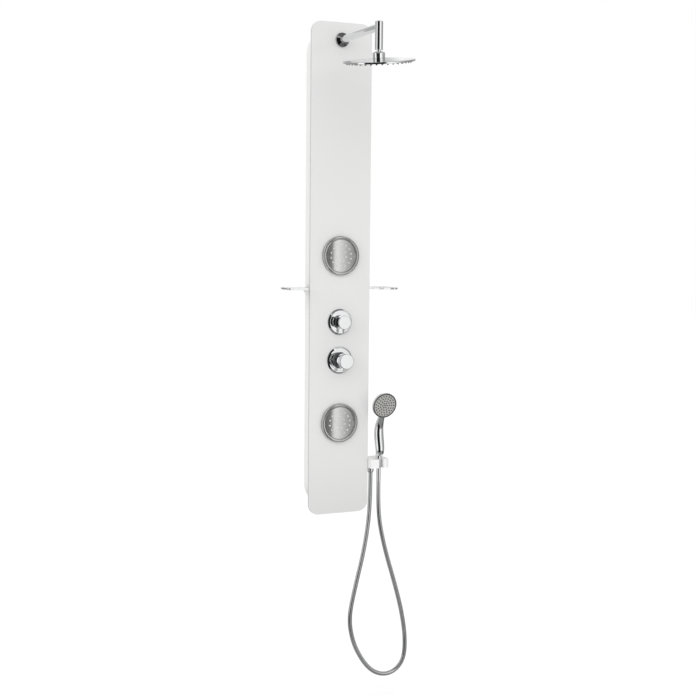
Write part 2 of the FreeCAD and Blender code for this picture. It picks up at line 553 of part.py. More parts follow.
def arm():
    elbow = start("arm_elbow", "front", (0, 0, "armHeight"))
    rod(elbow, (0, "-elbowDrop", "pipeDepth"), (0, 1, 0), "elbowRadius", "elbowDrop + elbowRise")
    extrude(elbow, [(0, 0, "elbowNeckRadius")], "pipeDepth", "elbowNeckFront")
    extrude(elbow, [(0, 0, "armThreadRadius")], "pipeDepth", "elbowNeckFront", cut=True)
    rod(elbow, (0, "-elbowDrop", "pipeDepth"), (0, 1, 0), "riserRadius - pipeWall", "elbowDrop", cut=True)
    rod(elbow, (0, "-elbowDrop", "pipeDepth"), (0, 1, 0), "riserRadius + seatGap", "seatDepth", cut=True)
    tube_piece = start("shower_arm", "front", (0, 0, "armHeight"))
    turned(tube_piece, [("armBoreRadius", "armThreadBack"), ("armThreadRadius", "armThreadBack"),
                        ("armThreadRadius", "armShoulder"), ("armRadius", "armShoulder"),
                        ("armRadius", ARM_END), ("armBoreRadius", ARM_END)])
    rod(tube_piece, (0, "-dropBottom", ARM_END), (0, 1, 0), "dropRadius", "dropBottom + dropRise", cut=True)
    ring_piece("arm_lock_nut", "elbowNeckRadius + threadGap", "armNutRadius", FRONT, "armNutFront",
               "armHeight")
    rosette = start("arm_rosette", "front", (0, 0, "armHeight"))
    inner = "(armRadius + threadGap)"
    turned(rosette, [(inner, "armShoulder + rosetteSkin"), (inner, "armRosetteFront"),
                     ("armRosetteRadius", f"{FRONT} + 2*rosetteEdge"), ("armRosetteRadius", FRONT),
                     ("armRosetteRadius - rosetteSkin", FRONT),
                     ("armRosetteRadius - rosetteSkin", "armShoulder - rosetteEdge")])
    shoulder = front_level() + 2 * size("rosetteEdge")
    soften(rosette, "rosetteEdge", ring_edge(size("armRosetteRadius"), shoulder))
    drop = start("drop_pipe", "up", (0, f"-{ARM_END}", "armHeight"))
    turned(drop, [("armBoreRadius", "-dropBottom"), ("dropRadius", "-dropBottom"),
                  ("dropRadius", "dropRise"), (0, "dropRise"), (0, "dropRise - capThickness"),
                  ("armBoreRadius", "dropRise - capThickness")])
    rod(drop, (0, 0, 0), (0, 1, 0), "armBoreRadius - pipeWall", "dropRadius", cut=True)
    soften(drop, "knobRound", ring_edge(size("dropRadius"), size("dropRise")))


def front_level():
    return sum(size(word) for word in ("casingGap", "casingDepth", "bondThickness", "glassThickness"))


def ball_centre():
    return (0, f"-{ARM_END}", BALL_HEIGHT)


def tilt_with_head(piece, sideways=True):
    """Rest pose of the head: lower in front and, for the head itself, higher at the right."""
    lean = FreeCAD.Rotation(V(1, 0, 0), size("headTilt"))
    if sideways:
        lean = lean.multiply(FreeCAD.Rotation(V(0, 1, 0), size("headSide")))
    piece.Placement.Rotation = lean


def zone(piece, inner, outer, low, high):
    """A slice of a hollow ball between two levels."""
    ball(piece, outer)
    ball(piece, inner, cut=True)
    reach = f"({outer}) + zoneMargin"
    extrude(piece, [(0, 0, reach)], high, f"({high}) + 2*({outer})", cut=True)
    extrude(piece, [(0, 0, reach)], f"({low}) - 2*({outer})", low, cut=True)


def ball_joint():
    stem = start("ball_stem", "up", ball_centre())
    collar, end, top = "(ballDrop - stemCollarBottom)", "(ballDrop - dropBottom)", "stemSpigotRise"
    turned(stem, [(0, 0), ("neckRadius", 0), ("neckRadius", collar), ("dropRadius", collar),
                  ("dropRadius", end), ("armBoreRadius", end), ("armBoreRadius", f"{end} + {top}"),
                  (0, f"{end} + {top}")])
    ball(stem, "ballRadius")
    extrude(stem, [(0, 0, "ballBoreRadius")], "-ballRadius", f"{end} + {top}", cut=True)
    seat = start("ball_seat", "up", ball_centre())
    zone(seat, "ballRadius + seatPlay", "ballRadius + seatThickness", "seatBottom", "seatTop")
    seal = start("ball_seal", "up", ball_centre())
    tilt_with_head(seal, sideways=False)
    zone(seal, "ballRadius + seatPlay", "ballRadius + seatThickness", "sealBottom", "sealTop")
    cavity = "ballRadius + seatThickness + seatPlay"
    nut = start("ball_nut", "up", ball_centre())
    tilt_with_head(nut)
    turned(nut, tube("nutThroatRadius", "ballNutRadius", "-ballNutDrop", "ballNutRise"))
    soften(nut, "nutRound", ring_edge(size("ballNutRadius"), size("ballNutRise")))
    turned(nut, [(0, "nutThroatRise"), ("nutThroatRadius", "nutThroatRise"),
                 ("nutMouthRadius", "ballNutRise"), (0, "ballNutRise")], cut=True)
    ball(nut, cavity, cut=True)
    extrude(nut, [(0, 0, "nutThreadRadius")], "-ballNutDrop", "nutThreadRise", cut=True)


def head():
    shell = start("head_shell", "up", ball_centre())
    tilt_with_head(shell)
    under, thread = "(headRimBottom + headFaceThickness)", "(nutThreadRadius - threadGap)"
    spigot = "(nutThreadRise - threadGap)"
    turned(shell, [("headNeckBore", "headBossBottom"), (thread, "headBossBottom"),
                   (thread, "headTop - headSkin"), ("headRadius - headFaceLip", "headRimTop - headSkin"),
                   ("headRadius - headFaceLip", "headRimBottom"), ("headRadius", "headRimBottom"),
                   ("headRadius", "headRimTop"), ("ballNutRadius", "headTop"), (thread, "headTop"),
                   (thread, spigot), ("headNeckBore", spigot)])
    ball(shell, "ballRadius + seatThickness + seatPlay", cut=True)
    soften(shell, "headRound", ring_edge(size("headRadius"), size("headRimTop")))
    soften(shell, "headRound/2", ring_edge(size("headRadius"), size("headRimBottom")))
    face = start("head_face", "up", ball_centre())
    mat = start("rain_nozzle_mat", "up", ball_centre())
    reach = "(headRadius - headFaceLip)"
    extrude(face, [(0, 0, f"{reach} - threadGap")], "headRimBottom", under)
    extrude(mat, [(0, 0, "headRadius - 2*headFaceLip")], under, f"{under} + rainMatThickness")
    low = "(headRimBottom - rainNozzleOut)"
    nozzle = [(0, 0, "rainNozzleRadius")]
    hole = [(0, 0, "rainNozzleRadius + rainHolePlay")]
    extrude(mat, nozzle, low, under)
    extrude(face, hole, "headRimBottom", under, cut=True)
    for ring in range(1, int(size("rainRings")) + 1):
        across, count = f"{ring}*rainPitch", f"{ring}*rainRingStep"
        ring_of(mat, extrude(mat, [(across, 0, "rainNozzleRadius")], low, under), count)
        hole = [(across, 0, "rainNozzleRadius + rainHolePlay")]
        ring_of(face, extrude(face, hole, "headRimBottom", under, cut=True), count)
    for piece in (face, mat):
        tilt_with_head(piece)


# ---------------------------------------------------------------- body jets

def jet(name, height):
    at = (0, 0, height)
    cup = start(f"{name}_jet_body", "front", at)
    inner = "(jetCupRadius - jetCupWall)"
    turned(cup, [(0, "jetCupBack"), ("jetCupRadius", "jetCupBack"), ("jetCupRadius", FRONT),
                 ("jetFlangeRadius", FRONT), ("jetFlangeRadius", "jetFlangeFront"),
                 (inner, "jetFlangeFront"), (inner, "jetCupBack + jetCupWall"),
                 (0, "jetCupBack + jetCupWall")])
    extrude(cup, [(0, 0, "jetPortRadius")], "jetPortBack", "jetCupBack")
    way = -1 if name == "upper" else 1
    rod(cup, (0, 0, "pipeDepth"), (0, way, 0), "feedRadius + seatGap", "jetPortRadius", cut=True)
    extrude(cup, [(0, 0, "channelRadius")], "pipeDepth", "jetCupBack + jetCupWall", cut=True)
    ring_piece(f"{name}_jet_nut", "jetCupRadius + threadGap", "jetNutRadius", "jetNutBack",
               CASING_INSIDE, height)
    mat = start(f"{name}_jet_nozzles", "front", at)
    extrude(mat, [(0, 0, "jetMatRadius")], "jetFlangeFront", "jetMatFront")
    face = start(f"{name}_jet_face", "front", at)
    extrude(face, [(0, 0, "jetFaceRadius")], "jetMatFront", "jetFaceFront")
    for radius, angle, count in (("jetOuterRing", "jetOuterStart", "jetOuterCount"),
                                 ("jetInnerRing", "jetInnerStart", "jetInnerCount")):
        spot = (f"{radius}*cos({angle})", f"{radius}*sin({angle})")
        first = extrude(mat, [(*spot, "jetNozzleRadius")], "jetMatFront", "jetNozzleFront")
        ring_of(mat, first, count)
        hole = [(*spot, "jetNozzleRadius + jetBezelPlay")]
        ring_of(face, extrude(face, hole, "jetMatFront", "jetFaceFront", cut=True), count)
    bezel = start(f"{name}_jet_bezel", "front", at)
    bore = "(jetFaceRadius + jetBezelPlay)"
    turned(bezel, [(bore, "jetFlangeFront"), (bore, "jetBezelFront - jetBezelLip"),
                   ("jetFaceRadius + jetBezelSlope", "jetBezelFront"),
                   ("jetBezelRadius", "jetBezelFront"), ("jetBezelRadius", FRONT),
                   ("jetFlangeRadius + jetBezelPlay", FRONT),
                   ("jetFlangeRadius + jetBezelPlay", "jetFlangeFront")])
    soften(bezel, "jetBezelRound", ring_edge(size("jetBezelRadius"), size("jetBezelFront")))


# ---------------------------------------------------------------- pipes inside the casing

def swept_pipe(label, route, radius, wall):
    """A bent metal pipe through corner points given as (X, height), at the depth of the pipes."""
    depth = -size("pipeDepth")
    corners = [V(x, depth, z) for x, z in route]
    path = rounded_path(corners, lambda before, after, turn: size("pipeBend"))
    solid = swept(path, radius).cut(swept(path, radius - wall))
    pipe = document.addObject("Part::Feature", label)
    pipe.Shape = solid
    pipe.Label = label


def rounded_path(corners, radius_at):
    """Straight runs joined by tangent arcs; the radius is given by the runs beside a corner and its turn."""
    edges, begin = [], corners[0]
    for before, here, after in zip(corners, corners[1:], corners[2:]):
        back, ahead = (before - here).normalize(), (after - here).normalize()
        turn = math.pi - back.getAngle(ahead)
        radius = radius_at((before - here).Length, (after - here).Length, turn)
        reach = radius * math.tan(turn / 2)
        inward = (back + ahead).normalize()
        middle = here + inward * (radius / math.cos(turn / 2) - radius)
        edges.append(Part.LineSegment(begin, here + back * reach).toShape())
        edges.append(Part.Arc(here + back * reach, middle, here + ahead * reach).toShape())
        begin = here + ahead * reach
    edges.append(Part.LineSegment(begin, corners[-1]).toShape())
    return Part.Wire(edges)


def swept(path, radius):
    first = path.Edges[0]
    section = Part.Wire(Part.makeCircle(radius, first.valueAt(first.FirstParameter),
                                        first.tangentAt(first.FirstParameter)))
    return path.makePipeShell([section], True, False)


def pipes():
    lane, port, seat = size("laneOffset"), size("portSpacing"), size("seatDepth")
    step, entry, slope = size("laneStep"), size("riserEntry"), size("riserSlope")
    thin, thick, wall = size("feedRadius"), size("riserRadius"), size("pipeWall")
    diverter_top = size("diverterHeight") + size("diverterHalfHeight")
    diverter_low = size("diverterHeight") - size("diverterHalfHeight")
    arm_low = size("armHeight") - size("elbowDrop")
    mixer_top = size("mixerHeight") + size("bossRise")
    upper_jet, lower_jet = size("upperJetHeight"), size("lowerJetHeight")
    port_reach = math.sqrt(size("jetPortRadius") ** 2 - thin ** 2)
    jet_clear = size("jetNutRadius") + step / 2
    swept_pipe("riser_pipe", [(-port, diverter_top - seat), (-port, diverter_top + step),
                              (-lane, diverter_top + 2 * step), (-lane, arm_low - entry - slope),
                              (0, arm_low - entry), (0, arm_low + seat)], thick, wall)
    swept_pipe("upper_jet_feed", [(port, diverter_top - seat), (port, diverter_top + step),
                                  (0, diverter_top + 2 * step), (0, upper_jet - thin)], thin, wall)
    swept_pipe("lower_jet_feed", [(-port, diverter_low + seat), (-port, diverter_low - step),
                                  (-lane, diverter_low - 2 * step), (-lane, lower_jet + size("laneReturn")),
                                  (0, lower_jet + jet_clear), (0, lower_jet + thin)], thin, wall)
    swept_pipe("outlet_feed", [(port, diverter_low + seat), (port, diverter_low - step),
                               (lane, diverter_low - 2 * step),
                               (lane, size("outletHeight") + size("outletPipeRadius"))], thin, wall)
    link = start("link_pipe", "up", (0, "-pipeDepth", 0))
    turned(link, tube("riserRadius - pipeWall", "riserRadius", "mixerHeight + bossRise - seatDepth",
                      "diverterHeight - diverterHalfHeight + seatDepth"))


# ---------------------------------------------------------------- shelves

def shelves():
    """The glass shelves, each bonded to the lip of an angle that is screwed to the side of the casing."""
    screws = start("shelf_screws", "front", (0, 0, "shelfHeight"))
    under = "-shelfThickness/2"
    for name, side, way in (("left", "-", -1), ("right", "", 1)):
        shelf = start(f"{name}_shelf", "up", (0, 0, "shelfHeight - shelfThickness/2"))
        near, beside = f"{side}({CASING_HALF} + clipBase)", f"{side}(panelWidth/2 + panelClear)"
        behind = f"-({GLASS_BACK} - panelClear)"
        outline = [(near, "-shelfBack"), (f"{side}shelfReach", "-shelfBack"),
                   (f"{side}shelfReach", "-shelfFront"), (f"{side}shelfSweep", "-shelfFront"),
                   (beside, behind), (near, behind)]
        extrude(shelf, outline, 0, "shelfThickness")
        soften(shelf, "shelfCorner", upright_at(size("shelfReach")))
        clip = start(f"{name}_shelf_clip", "front", (0, 0, "shelfHeight"))
        wall, reach = f"{side}{CASING_HALF}", f"{side}clipReach"
        foot = f"{side}({CASING_HALF} + clipScrewLength)"
        block = [(wall, f"{under} - clipDrop"), (foot, f"{under} - clipDrop"),
                 (reach, f"{under} - clipLip"), (reach, under), (wall, under)]
        extrude(clip, block, "clipBack", "clipFront")
        for depth in CLIP_SCREWS:
            rod(clip, (wall, "-clipScrewDrop", depth), (way, 0, 0), "clipScrewRadius",
                "clipScrewLength - casingWall", cut=True)
            rod(screws, (f"{side}{INNER_HALF}", "-clipScrewDrop", depth), (way, 0, 0),
                "clipScrewRadius", "clipScrewLength")
            rod(screws, (f"{side}({INNER_HALF} - clipScrewHeadHeight)", "-clipScrewDrop", depth),
                (way, 0, 0), "clipScrewHead", "clipScrewHeadHeight")


# ---------------------------------------------------------------- handset bracket and water outlet

def handset_bracket():
    piece = start("handset_bracket", "up", (0, 0, 0))
    beside, behind = "(panelWidth/2 + panelClear)", f"-({GLASS_BACK} - panelClear)"
    outline = [(CASING_HALF, "-blockBack"), ("blockReach", "-blockBack"), ("blockReach", "-blockFront"),
               (beside, "-blockFront"), (beside, behind), (CASING_HALF, behind)]
    extrude(piece, outline, BLOCK_BOTTOM, BLOCK_TOP)
    soften(piece, "blockCorner", upright_at(size("blockReach")))
    cone = piece.newObject("PartDesign::SubtractiveCone", free_name("socket"))
    bind(cone, Radius1="coneBottomRadius + coneGap", Radius2="coneTopRadius + coneGap",
         Height=f"{BLOCK_TOP} - {BLOCK_BOTTOM}", Placement__Base__x="socketAcross",
         Placement__Base__y="-socketDepth", Placement__Base__z=BLOCK_BOTTOM)
    document.recompute()
    slot = rectangle("socketAcross - slotWidth/2", "socketAcross + slotWidth/2", "-blockFront",
                     "-socketDepth")
    extrude(piece, slot, BLOCK_BOTTOM, BLOCK_TOP, cut=True)
    rod(piece, (CASING_HALF, "-outletDepth", "outletHeight"), (1, 0, 0), "outletPipeRadius",
        f"outletAcross - {CASING_HALF}", cut=True)
    rod(piece, ("outletAcross", "-outletDepth", "outletHeight"), (0, 0, -1), "outletPipeRadius",
        "blockBottom", cut=True)
    ball(piece, "outletPipeRadius", ("outletAcross", "-outletDepth", "outletHeight"), cut=True)
    for depth, rise in BLOCK_SCREWS:
        rod(piece, (CASING_HALF, f"-{depth}", f"outletHeight + {rise}"), (1, 0, 0), "blockScrewRadius",
            "blockScrewLength - casingWall", cut=True)
    screws = start("bracket_screws", "up", (0, 0, "outletHeight"))
    for depth, rise in BLOCK_SCREWS:
        rod(screws, (INNER_HALF, f"-{depth}", rise), (1, 0, 0), "blockScrewRadius", "blockScrewLength")
        rod(screws, (f"{INNER_HALF} - blockScrewHeadHeight", f"-{depth}", rise), (1, 0, 0),
            "blockScrewHead", "blockScrewHeadHeight")


def outlet():
    elbow = start("outlet_elbow", "up", (0, "-outletDepth", "outletHeight"))
    rod(elbow, ("laneOffset", 0, 0), (1, 0, 0), "outletPipeRadius", "outletAcross - laneOffset")
    ball(elbow, "outletPipeRadius", ("outletAcross", 0, 0))
    rod(elbow, ("outletAcross", 0, 0), (0, 0, -1), "outletPipeRadius", "outletThreadDrop")
    rod(elbow, ("laneOffset", "outletDepth - pipeDepth", "-outletPipeRadius"), (0, 0, 1),
        "outletPipeRadius + pipeWall", "2*outletPipeRadius + seatDepth")
    rod(elbow, ("laneOffset", 0, 0), (1, 0, 0), "outletBore", "outletAcross - laneOffset", cut=True)
    rod(elbow, ("outletAcross", 0, 0), (0, 0, -1), "outletBore", "outletThreadDrop", cut=True)
    rod(elbow, ("laneOffset", "outletDepth - pipeDepth", 0), (0, 0, 1), "outletBore",
        "outletPipeRadius + seatDepth", cut=True)
    rod(elbow, ("laneOffset", "outletDepth - pipeDepth", "outletPipeRadius"), (0, 0, 1),
        "feedRadius + seatGap", "seatDepth", cut=True)
    rod(elbow, ("laneOffset", 0, 0), (0, 1, 0), "outletBore", "outletDepth - pipeDepth", cut=True)
    nut = start("hose_outlet_nut", "up", ("outletAcross", "-outletDepth", 0))
    thread_end = "(outletHeight - outletThreadDrop)"
    turned(nut, [("outletPipeRadius + threadGap", "outletNutTop"), ("outletNutRadius", "outletNutTop"),
                 ("outletNutRadius", "outletNutBottom + outletNutTaper"),
                 ("hoseRadius + outletNutLip", "outletNutBottom"),
                 ("hoseBore", "outletNutBottom"), ("hoseBore", f"{thread_end} - washerThickness"),
                 ("outletPipeRadius + threadGap", f"{thread_end} - washerThickness")])
    ring_piece("hose_washer", "outletBore", "outletPipeRadius", f"{thread_end} - washerThickness",
               thread_end, 0, "up", ("outletAcross", "-outletDepth", 0))


# ---------------------------------------------------------------- shower hose

def hose_route():
    """Corner points of the hose, chosen by hand, from the outlet nut down and round to the handset."""
    start_point = (size("outletAcross"), -size("outletDepth"), size("outletNutBottom"))
    end_point = (size("socketAcross"), -size("socketDepth"), size("ferruleBottom"))
    between = [(122, -40, -700), (117, -41, -790), (99, -43, -890), (70, -46, -996), (47, -49, -1092),
               (58, -51, -1166), (86, -54, -1226), (118, -56, -1267), (149, -58, -1286), (183, -60, -1290),
               (213, -61, -1277), (233, -63, -1250), (240, -64, -1211), (237, -65, -1153), (222, -66, -1075),
               (196, -67, -985), (164, -68, -886), (142, -69, -796), (136, -69, -726)]
    return [V(*point) for point in (start_point, *between, end_point)]


# One rib of the hose: shares of its pitch, and how much of the groove's depth is cut there
RIB_PROFILE = [(0.1, 0), (0.35, 1), (0.65, 1), (0.9, 0)]


def hose_radius(before, after, turn):
    return size("hoseBendShare") * min(before, after) / math.tan(turn / 2)


def hose():
    """The ribbed metal hose: rings of two radii along the route, joined straight, round a plain bore."""
    radii = []

    def noted_radius(before, after, turn):
        radii.append(hose_radius(before, after, turn))
        return radii[-1]

    path = rounded_path(hose_route(), noted_radius)
    outer, bore = size("hoseRadius"), size("hoseBore")
    plain_end, ribs = 2 * outer, int(size("hoseRibs"))
    pitch = (path.Length - 2 * plain_end) / ribs
    stations = [(0, outer)]
    for rib in range(ribs):
        stations += [(plain_end + (rib + share) * pitch, outer - depth * size("hoseGroove"))
                     for share, depth in RIB_PROFILE]
    stations.append((path.Length, outer))
    rings = [ring_at(path, distance, radius) for distance, radius in stations]
    ribbed = Part.makeLoft(rings, True, True)
    solid = ribbed.cut(swept(path, bore))
    piece = document.addObject("Part::Feature", "shower_hose")
    piece.Shape = solid
    piece.Label = "shower_hose"
    section = math.pi * (outer ** 2 - bore ** 2) * path.Length
    print(f"hose length {path.Length:.0f}, radii {[round(radius) for radius in radii]}")
    print(f"hose volume {solid.Volume:.0f}, plain section times length {section:.0f}")


def ring_at(path, distance, radius):
    """A circle square to the path, whose own X axis always lies in the same sense across the hose."""
    for edge in path.OrderedEdges:
        if distance <= edge.Length + CLOSE:
            break
        distance -= edge.Length
    parameter = edge.getParameterByLength(min(distance, edge.Length))
    along = edge.tangentAt(parameter)
    across = V(0, 1, 0).cross(along).normalize()
    ring = Part.Circle(edge.valueAt(parameter), along, radius)
    ring.XAxis = across
    return Part.Wire(ring.toShape())


# ---------------------------------------------------------------- handset

def hose_end():
    at = ("socketAcross", "-socketDepth", 0)
    cone = start("hose_cone_nut", "up", at)
    shape = cone.newObject("PartDesign::AdditiveCone", free_name("cone"))
    bind(shape, Radius1="coneBottomRadius", Radius2="coneTopRadius", Height=f"{BLOCK_TOP} - {BLOCK_BOTTOM}",
         Placement__Base__z=BLOCK_BOTTOM)
    document.recompute()
    extrude(cone, [(0, 0, "ferruleRadius")], BLOCK_BOTTOM, f"{BLOCK_TOP} - capThickness", cut=True)
    extrude(cone, [(0, 0, "hoseBore")], f"{BLOCK_TOP} - capThickness", BLOCK_TOP, cut=True)
    ring_piece("hose_ferrule", "hoseBore", "ferruleRadius", "ferruleBottom", f"{BLOCK_TOP} - capThickness",
               0, "up", at)


def handset_collar():
    at = ("socketAcross", "-socketDepth", 0)
    collar = start("handset_collar", "up", at)
    groove = "(collarRadius - collarGroove)"
    base = f"({BLOCK_TOP} + collarGap)"
    turned(collar, [("hoseBore", base), ("collarRadius", base), ("collarRadius", f"{base} + collarBand"),
                    (groove, f"{base} + collarBand"), (groove, "collarTop"), ("hoseBore", "collarTop")])


def handset_body():
    """Handle and head back in one moulding: a handle that swells and leans into a domed round head."""
    piece = start("handset_body", "up", ("socketAcross", 0, 0))
    sections = [("collarTop", "socketDepth", "collarRadius"),
                ("handleBulgeHeight", "socketDepth", "handleBulge"),
                ("(2*handleTopHeight + handleBulgeHeight)/3", "(2*socketDepth + handleTopDepth)/3",
                 "(handleTop + handleBulge)/2"),
                ("handleTopHeight", "handleTopDepth", "handleTop"),
                ("handleEndHeight", "handleEndDepth", "handleEnd")]
    sketches = [circles(piece, [(0, f"-{depth}", radius)], lift=level) for level, depth, radius in sections]
    handle = piece.newObject("PartDesign::AdditiveLoft", "handle")
    handle.Profile = sketches[0]
    handle.Sections = sketches[1:]
    document.recompute()
    head_solid(piece, "Ellipsoid", Radius1="domeDepth", Radius2="faceRadius", Radius3="faceRadius")
    head_cylinder(piece, "faceRadius", 0, "rimDepth")
    head_cylinder(piece, "faceRadius - faceWall", "rimDepth - cavityDepth", "cavityDepth", cut=True)
    rod(piece, (0, "-socketDepth", "collarTop"), (0, 0, 1), "handleBore", "handleTopHeight - collarTop",
        cut=True)


def head_solid(piece, kind, **expressions):
    solid = piece.newObject(f"PartDesign::Additive{kind}", free_name("head"))
    if kind == "Ellipsoid":
        solid.Angle1, solid.Angle2 = -90, 0
    solid.Placement = FreeCAD.Placement(V(), FreeCAD.Rotation(V(1, 0, 0), 90))
    bind(solid, **expressions, Placement__Rotation__Angle="90 + faceTilt",
         Placement__Base__y="-faceDepth", Placement__Base__z="faceHeight")
    document.recompute()
    return solid


def head_cylinder(piece, radius, back, length, cut=False):
    """A round slice of the handset's head; its levels run forward along the tilted axis of the head."""
    kind = "Subtractive" if cut else "Additive"
    solid = piece.newObject(f"PartDesign::{kind}Cylinder", free_name("head"))
    solid.Placement = FreeCAD.Placement(V(), FreeCAD.Rotation(V(1, 0, 0), 90))
    bind(solid, Radius=radius, Height=length, Placement__Rotation__Angle="90 + faceTilt",
         Placement__Base__y=f"-faceDepth - ({back})*cos(faceTilt)",
         Placement__Base__z=f"faceHeight - ({back})*sin(faceTilt)")
    document.recompute()
    return solid


def spray_face():
    """The handset's round spray plate, its soft nozzles and the trim ring, built flat and then tilted."""
    plate, mat = start("handset_face"), start("handset_nozzles")
    ring = start("handset_trim_ring")
    inner = "(faceRadius - faceWall - threadGap)"
    front = "(rimDepth + sprayFaceThickness/2)"
    back = f"({front} - sprayFaceThickness)"
    rim = "(faceRadius - 2*faceWall)"
    extrude(plate, [(0, 0, rim)], back, front)
    extrude(mat, [(0, 0, f"{rim} - faceWall")], f"{back} - sprayMatThickness", back)
    tip = f"{front} + sprayNozzleOut"
    extrude(mat, [(0, 0, "sprayNozzleRadius")], back, tip)
    extrude(plate, [(0, 0, "sprayNozzleRadius + sprayHolePlay")], back, front, cut=True)
    for turn in range(1, int(size("sprayRings")) + 1):
        across, count = f"{turn}*sprayPitch", f"{turn}*sprayRingStep + 1"
        ring_of(mat, extrude(mat, [(across, 0, "sprayNozzleRadius")], back, tip), count)
        hole = [(across, 0, "sprayNozzleRadius + sprayHolePlay")]
        ring_of(plate, extrude(plate, hole, back, front, cut=True), count)
    turned(ring, [(f"{rim} + threadGap", back), (inner, back), (inner, "rimDepth"),
                  ("faceRadius", "rimDepth"), ("faceRadius", front), (f"{rim} + threadGap", front)])
    level = size("rimDepth") + size("sprayFaceThickness") / 2
    soften(ring, "handsetRound/2", ring_edge(size("faceRadius"), level))
    for piece in (plate, mat, ring):
        piece.Placement = FreeCAD.Placement(V(), FreeCAD.Rotation(V(1, 0, 0), 90))
        bind(piece, Placement__Rotation__Angle="90 + faceTilt", Placement__Base__x="socketAcross",
             Placement__Base__y="-faceDepth", Placement__Base__z="faceHeight")
    document.recompute()


# ---------------------------------------------------------------- the whole column

GROUPS = {
    "wall_brackets": ("upper_wall_bracket", "lower_wall_bracket"),
    "cross_rails": ("upper_cross_rail", "lower_cross_rail"),
    "lock_nuts": ("arm_lock_nut", "diverter_lock_nut", "mixer_lock_nut", "mixer_lock_ring"),
    "jet_nuts": ("upper_jet_nut", "lower_jet_nut"),
    "jet_bodies": ("upper_jet_body", "lower_jet_body"),
    "jet_nozzles": ("upper_jet_nozzles", "lower_jet_nozzles"),
    "inlet_unions": ("hot_inlet_union", "cold_inlet_union"),
    "inlet_check_valves": ("hot_check_valve", "cold_check_valve"),
    "shelf_clips": ("left_shelf_clip", "right_shelf_clip"),
    "side_screws": ("shelf_screws", "bracket_screws"),
    "water_pipes": ("riser_pipe", "link_pipe", "upper_jet_feed", "lower_jet_feed", "outlet_feed"),
}


def build():
    front_plate()
    bonding_strip()
    rear_casing()
    wall_bracket("upper_wall_bracket", "bracketHeight")
    wall_bracket("lower_wall_bracket", "-bracketHeight")
    cross_rail("upper_cross_rail", "bracketHeight", "laneOffset", "riserRadius")
    cross_rail("lower_cross_rail", "-bracketHeight", "-laneOffset", "feedRadius")
    diverter_body()
    diverter_insides()
    mixer_body()
    mixer_insides()
    inlets()
    diverter_trim()
    mixer_trim()
    arm()
    ball_joint()
    head()
    jet("upper", "upperJetHeight")
    jet("lower", "lowerJetHeight")
    pipes()
    shelves()
    handset_bracket()
    outlet()
    hose()
    hose_end()
    handset_collar()
    handset_body()
    spray_face()


def join_groups():
    """Like pieces of one kind are kept as one sub-part of separate solids."""
    for label, members in GROUPS.items():
        together = document.addObject("Part::Compound", label)
        together.Label = label
        together.Links = [document.getObject(member) for member in members]
    document.recompute()


def pieces():
    """The sub-parts themselves: the groups, and every body or finished shape that is in no group."""
    grouped = {member for members in GROUPS.values() for member in members}
    kinds = ("PartDesign::Body", "Part::Feature", "Part::Compound")
    return [thing for thing in document.Objects if thing.TypeId in kinds and thing.Label not in grouped]


def check_and_export():
    document.recompute()
    for thing in document.Objects:
        if "Invalid" in thing.State or "Error" in thing.State:
            owners = [parent.Label for parent in thing.InList]
            raise RuntimeError(f"{thing.Label} of {owners} is in state {thing.State}")
    os.makedirs("parts", exist_ok=True)
    for piece in pieces():
        if piece.Shape.isNull() or not piece.Shape.isValid():
            raise RuntimeError(f"{piece.Label} has no valid shape")
        piece.Shape.exportStep(f"parts/{piece.Label}.step")
    print(f"{len(pieces())} pieces written")


build()
join_groups()
check_and_export()
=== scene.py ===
import math

import bmesh
import bpy
from mathutils import Matrix, Vector
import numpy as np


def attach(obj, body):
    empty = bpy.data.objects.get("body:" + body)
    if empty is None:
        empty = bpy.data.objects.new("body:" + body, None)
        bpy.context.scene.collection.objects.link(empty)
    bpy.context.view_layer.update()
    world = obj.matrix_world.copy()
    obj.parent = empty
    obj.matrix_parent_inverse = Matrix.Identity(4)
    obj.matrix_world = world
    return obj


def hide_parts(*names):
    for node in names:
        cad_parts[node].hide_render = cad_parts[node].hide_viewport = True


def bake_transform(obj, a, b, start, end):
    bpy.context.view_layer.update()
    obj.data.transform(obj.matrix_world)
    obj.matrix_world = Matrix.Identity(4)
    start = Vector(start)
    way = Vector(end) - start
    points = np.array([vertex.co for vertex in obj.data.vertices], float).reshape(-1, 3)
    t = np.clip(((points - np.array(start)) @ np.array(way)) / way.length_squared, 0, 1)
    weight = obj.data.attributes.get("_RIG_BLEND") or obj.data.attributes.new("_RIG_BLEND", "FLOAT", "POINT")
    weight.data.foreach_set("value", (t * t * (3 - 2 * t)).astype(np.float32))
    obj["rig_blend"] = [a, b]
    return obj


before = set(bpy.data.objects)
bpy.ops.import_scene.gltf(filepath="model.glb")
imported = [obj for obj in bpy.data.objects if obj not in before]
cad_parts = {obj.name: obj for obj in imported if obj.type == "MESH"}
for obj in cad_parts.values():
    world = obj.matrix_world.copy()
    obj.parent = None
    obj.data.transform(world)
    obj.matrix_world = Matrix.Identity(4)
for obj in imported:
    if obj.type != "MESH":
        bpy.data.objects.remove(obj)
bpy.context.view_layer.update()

bl_info = {
    "name": "Shower panel column",
    "version": (1, 0, 0),
    "blender": (4, 5, 0),
    "location": "3D View > Sidebar > Shower column",
    "description": "Finishes, hose, nozzles and studio for the shower panel column",
    "category": "Object",
}

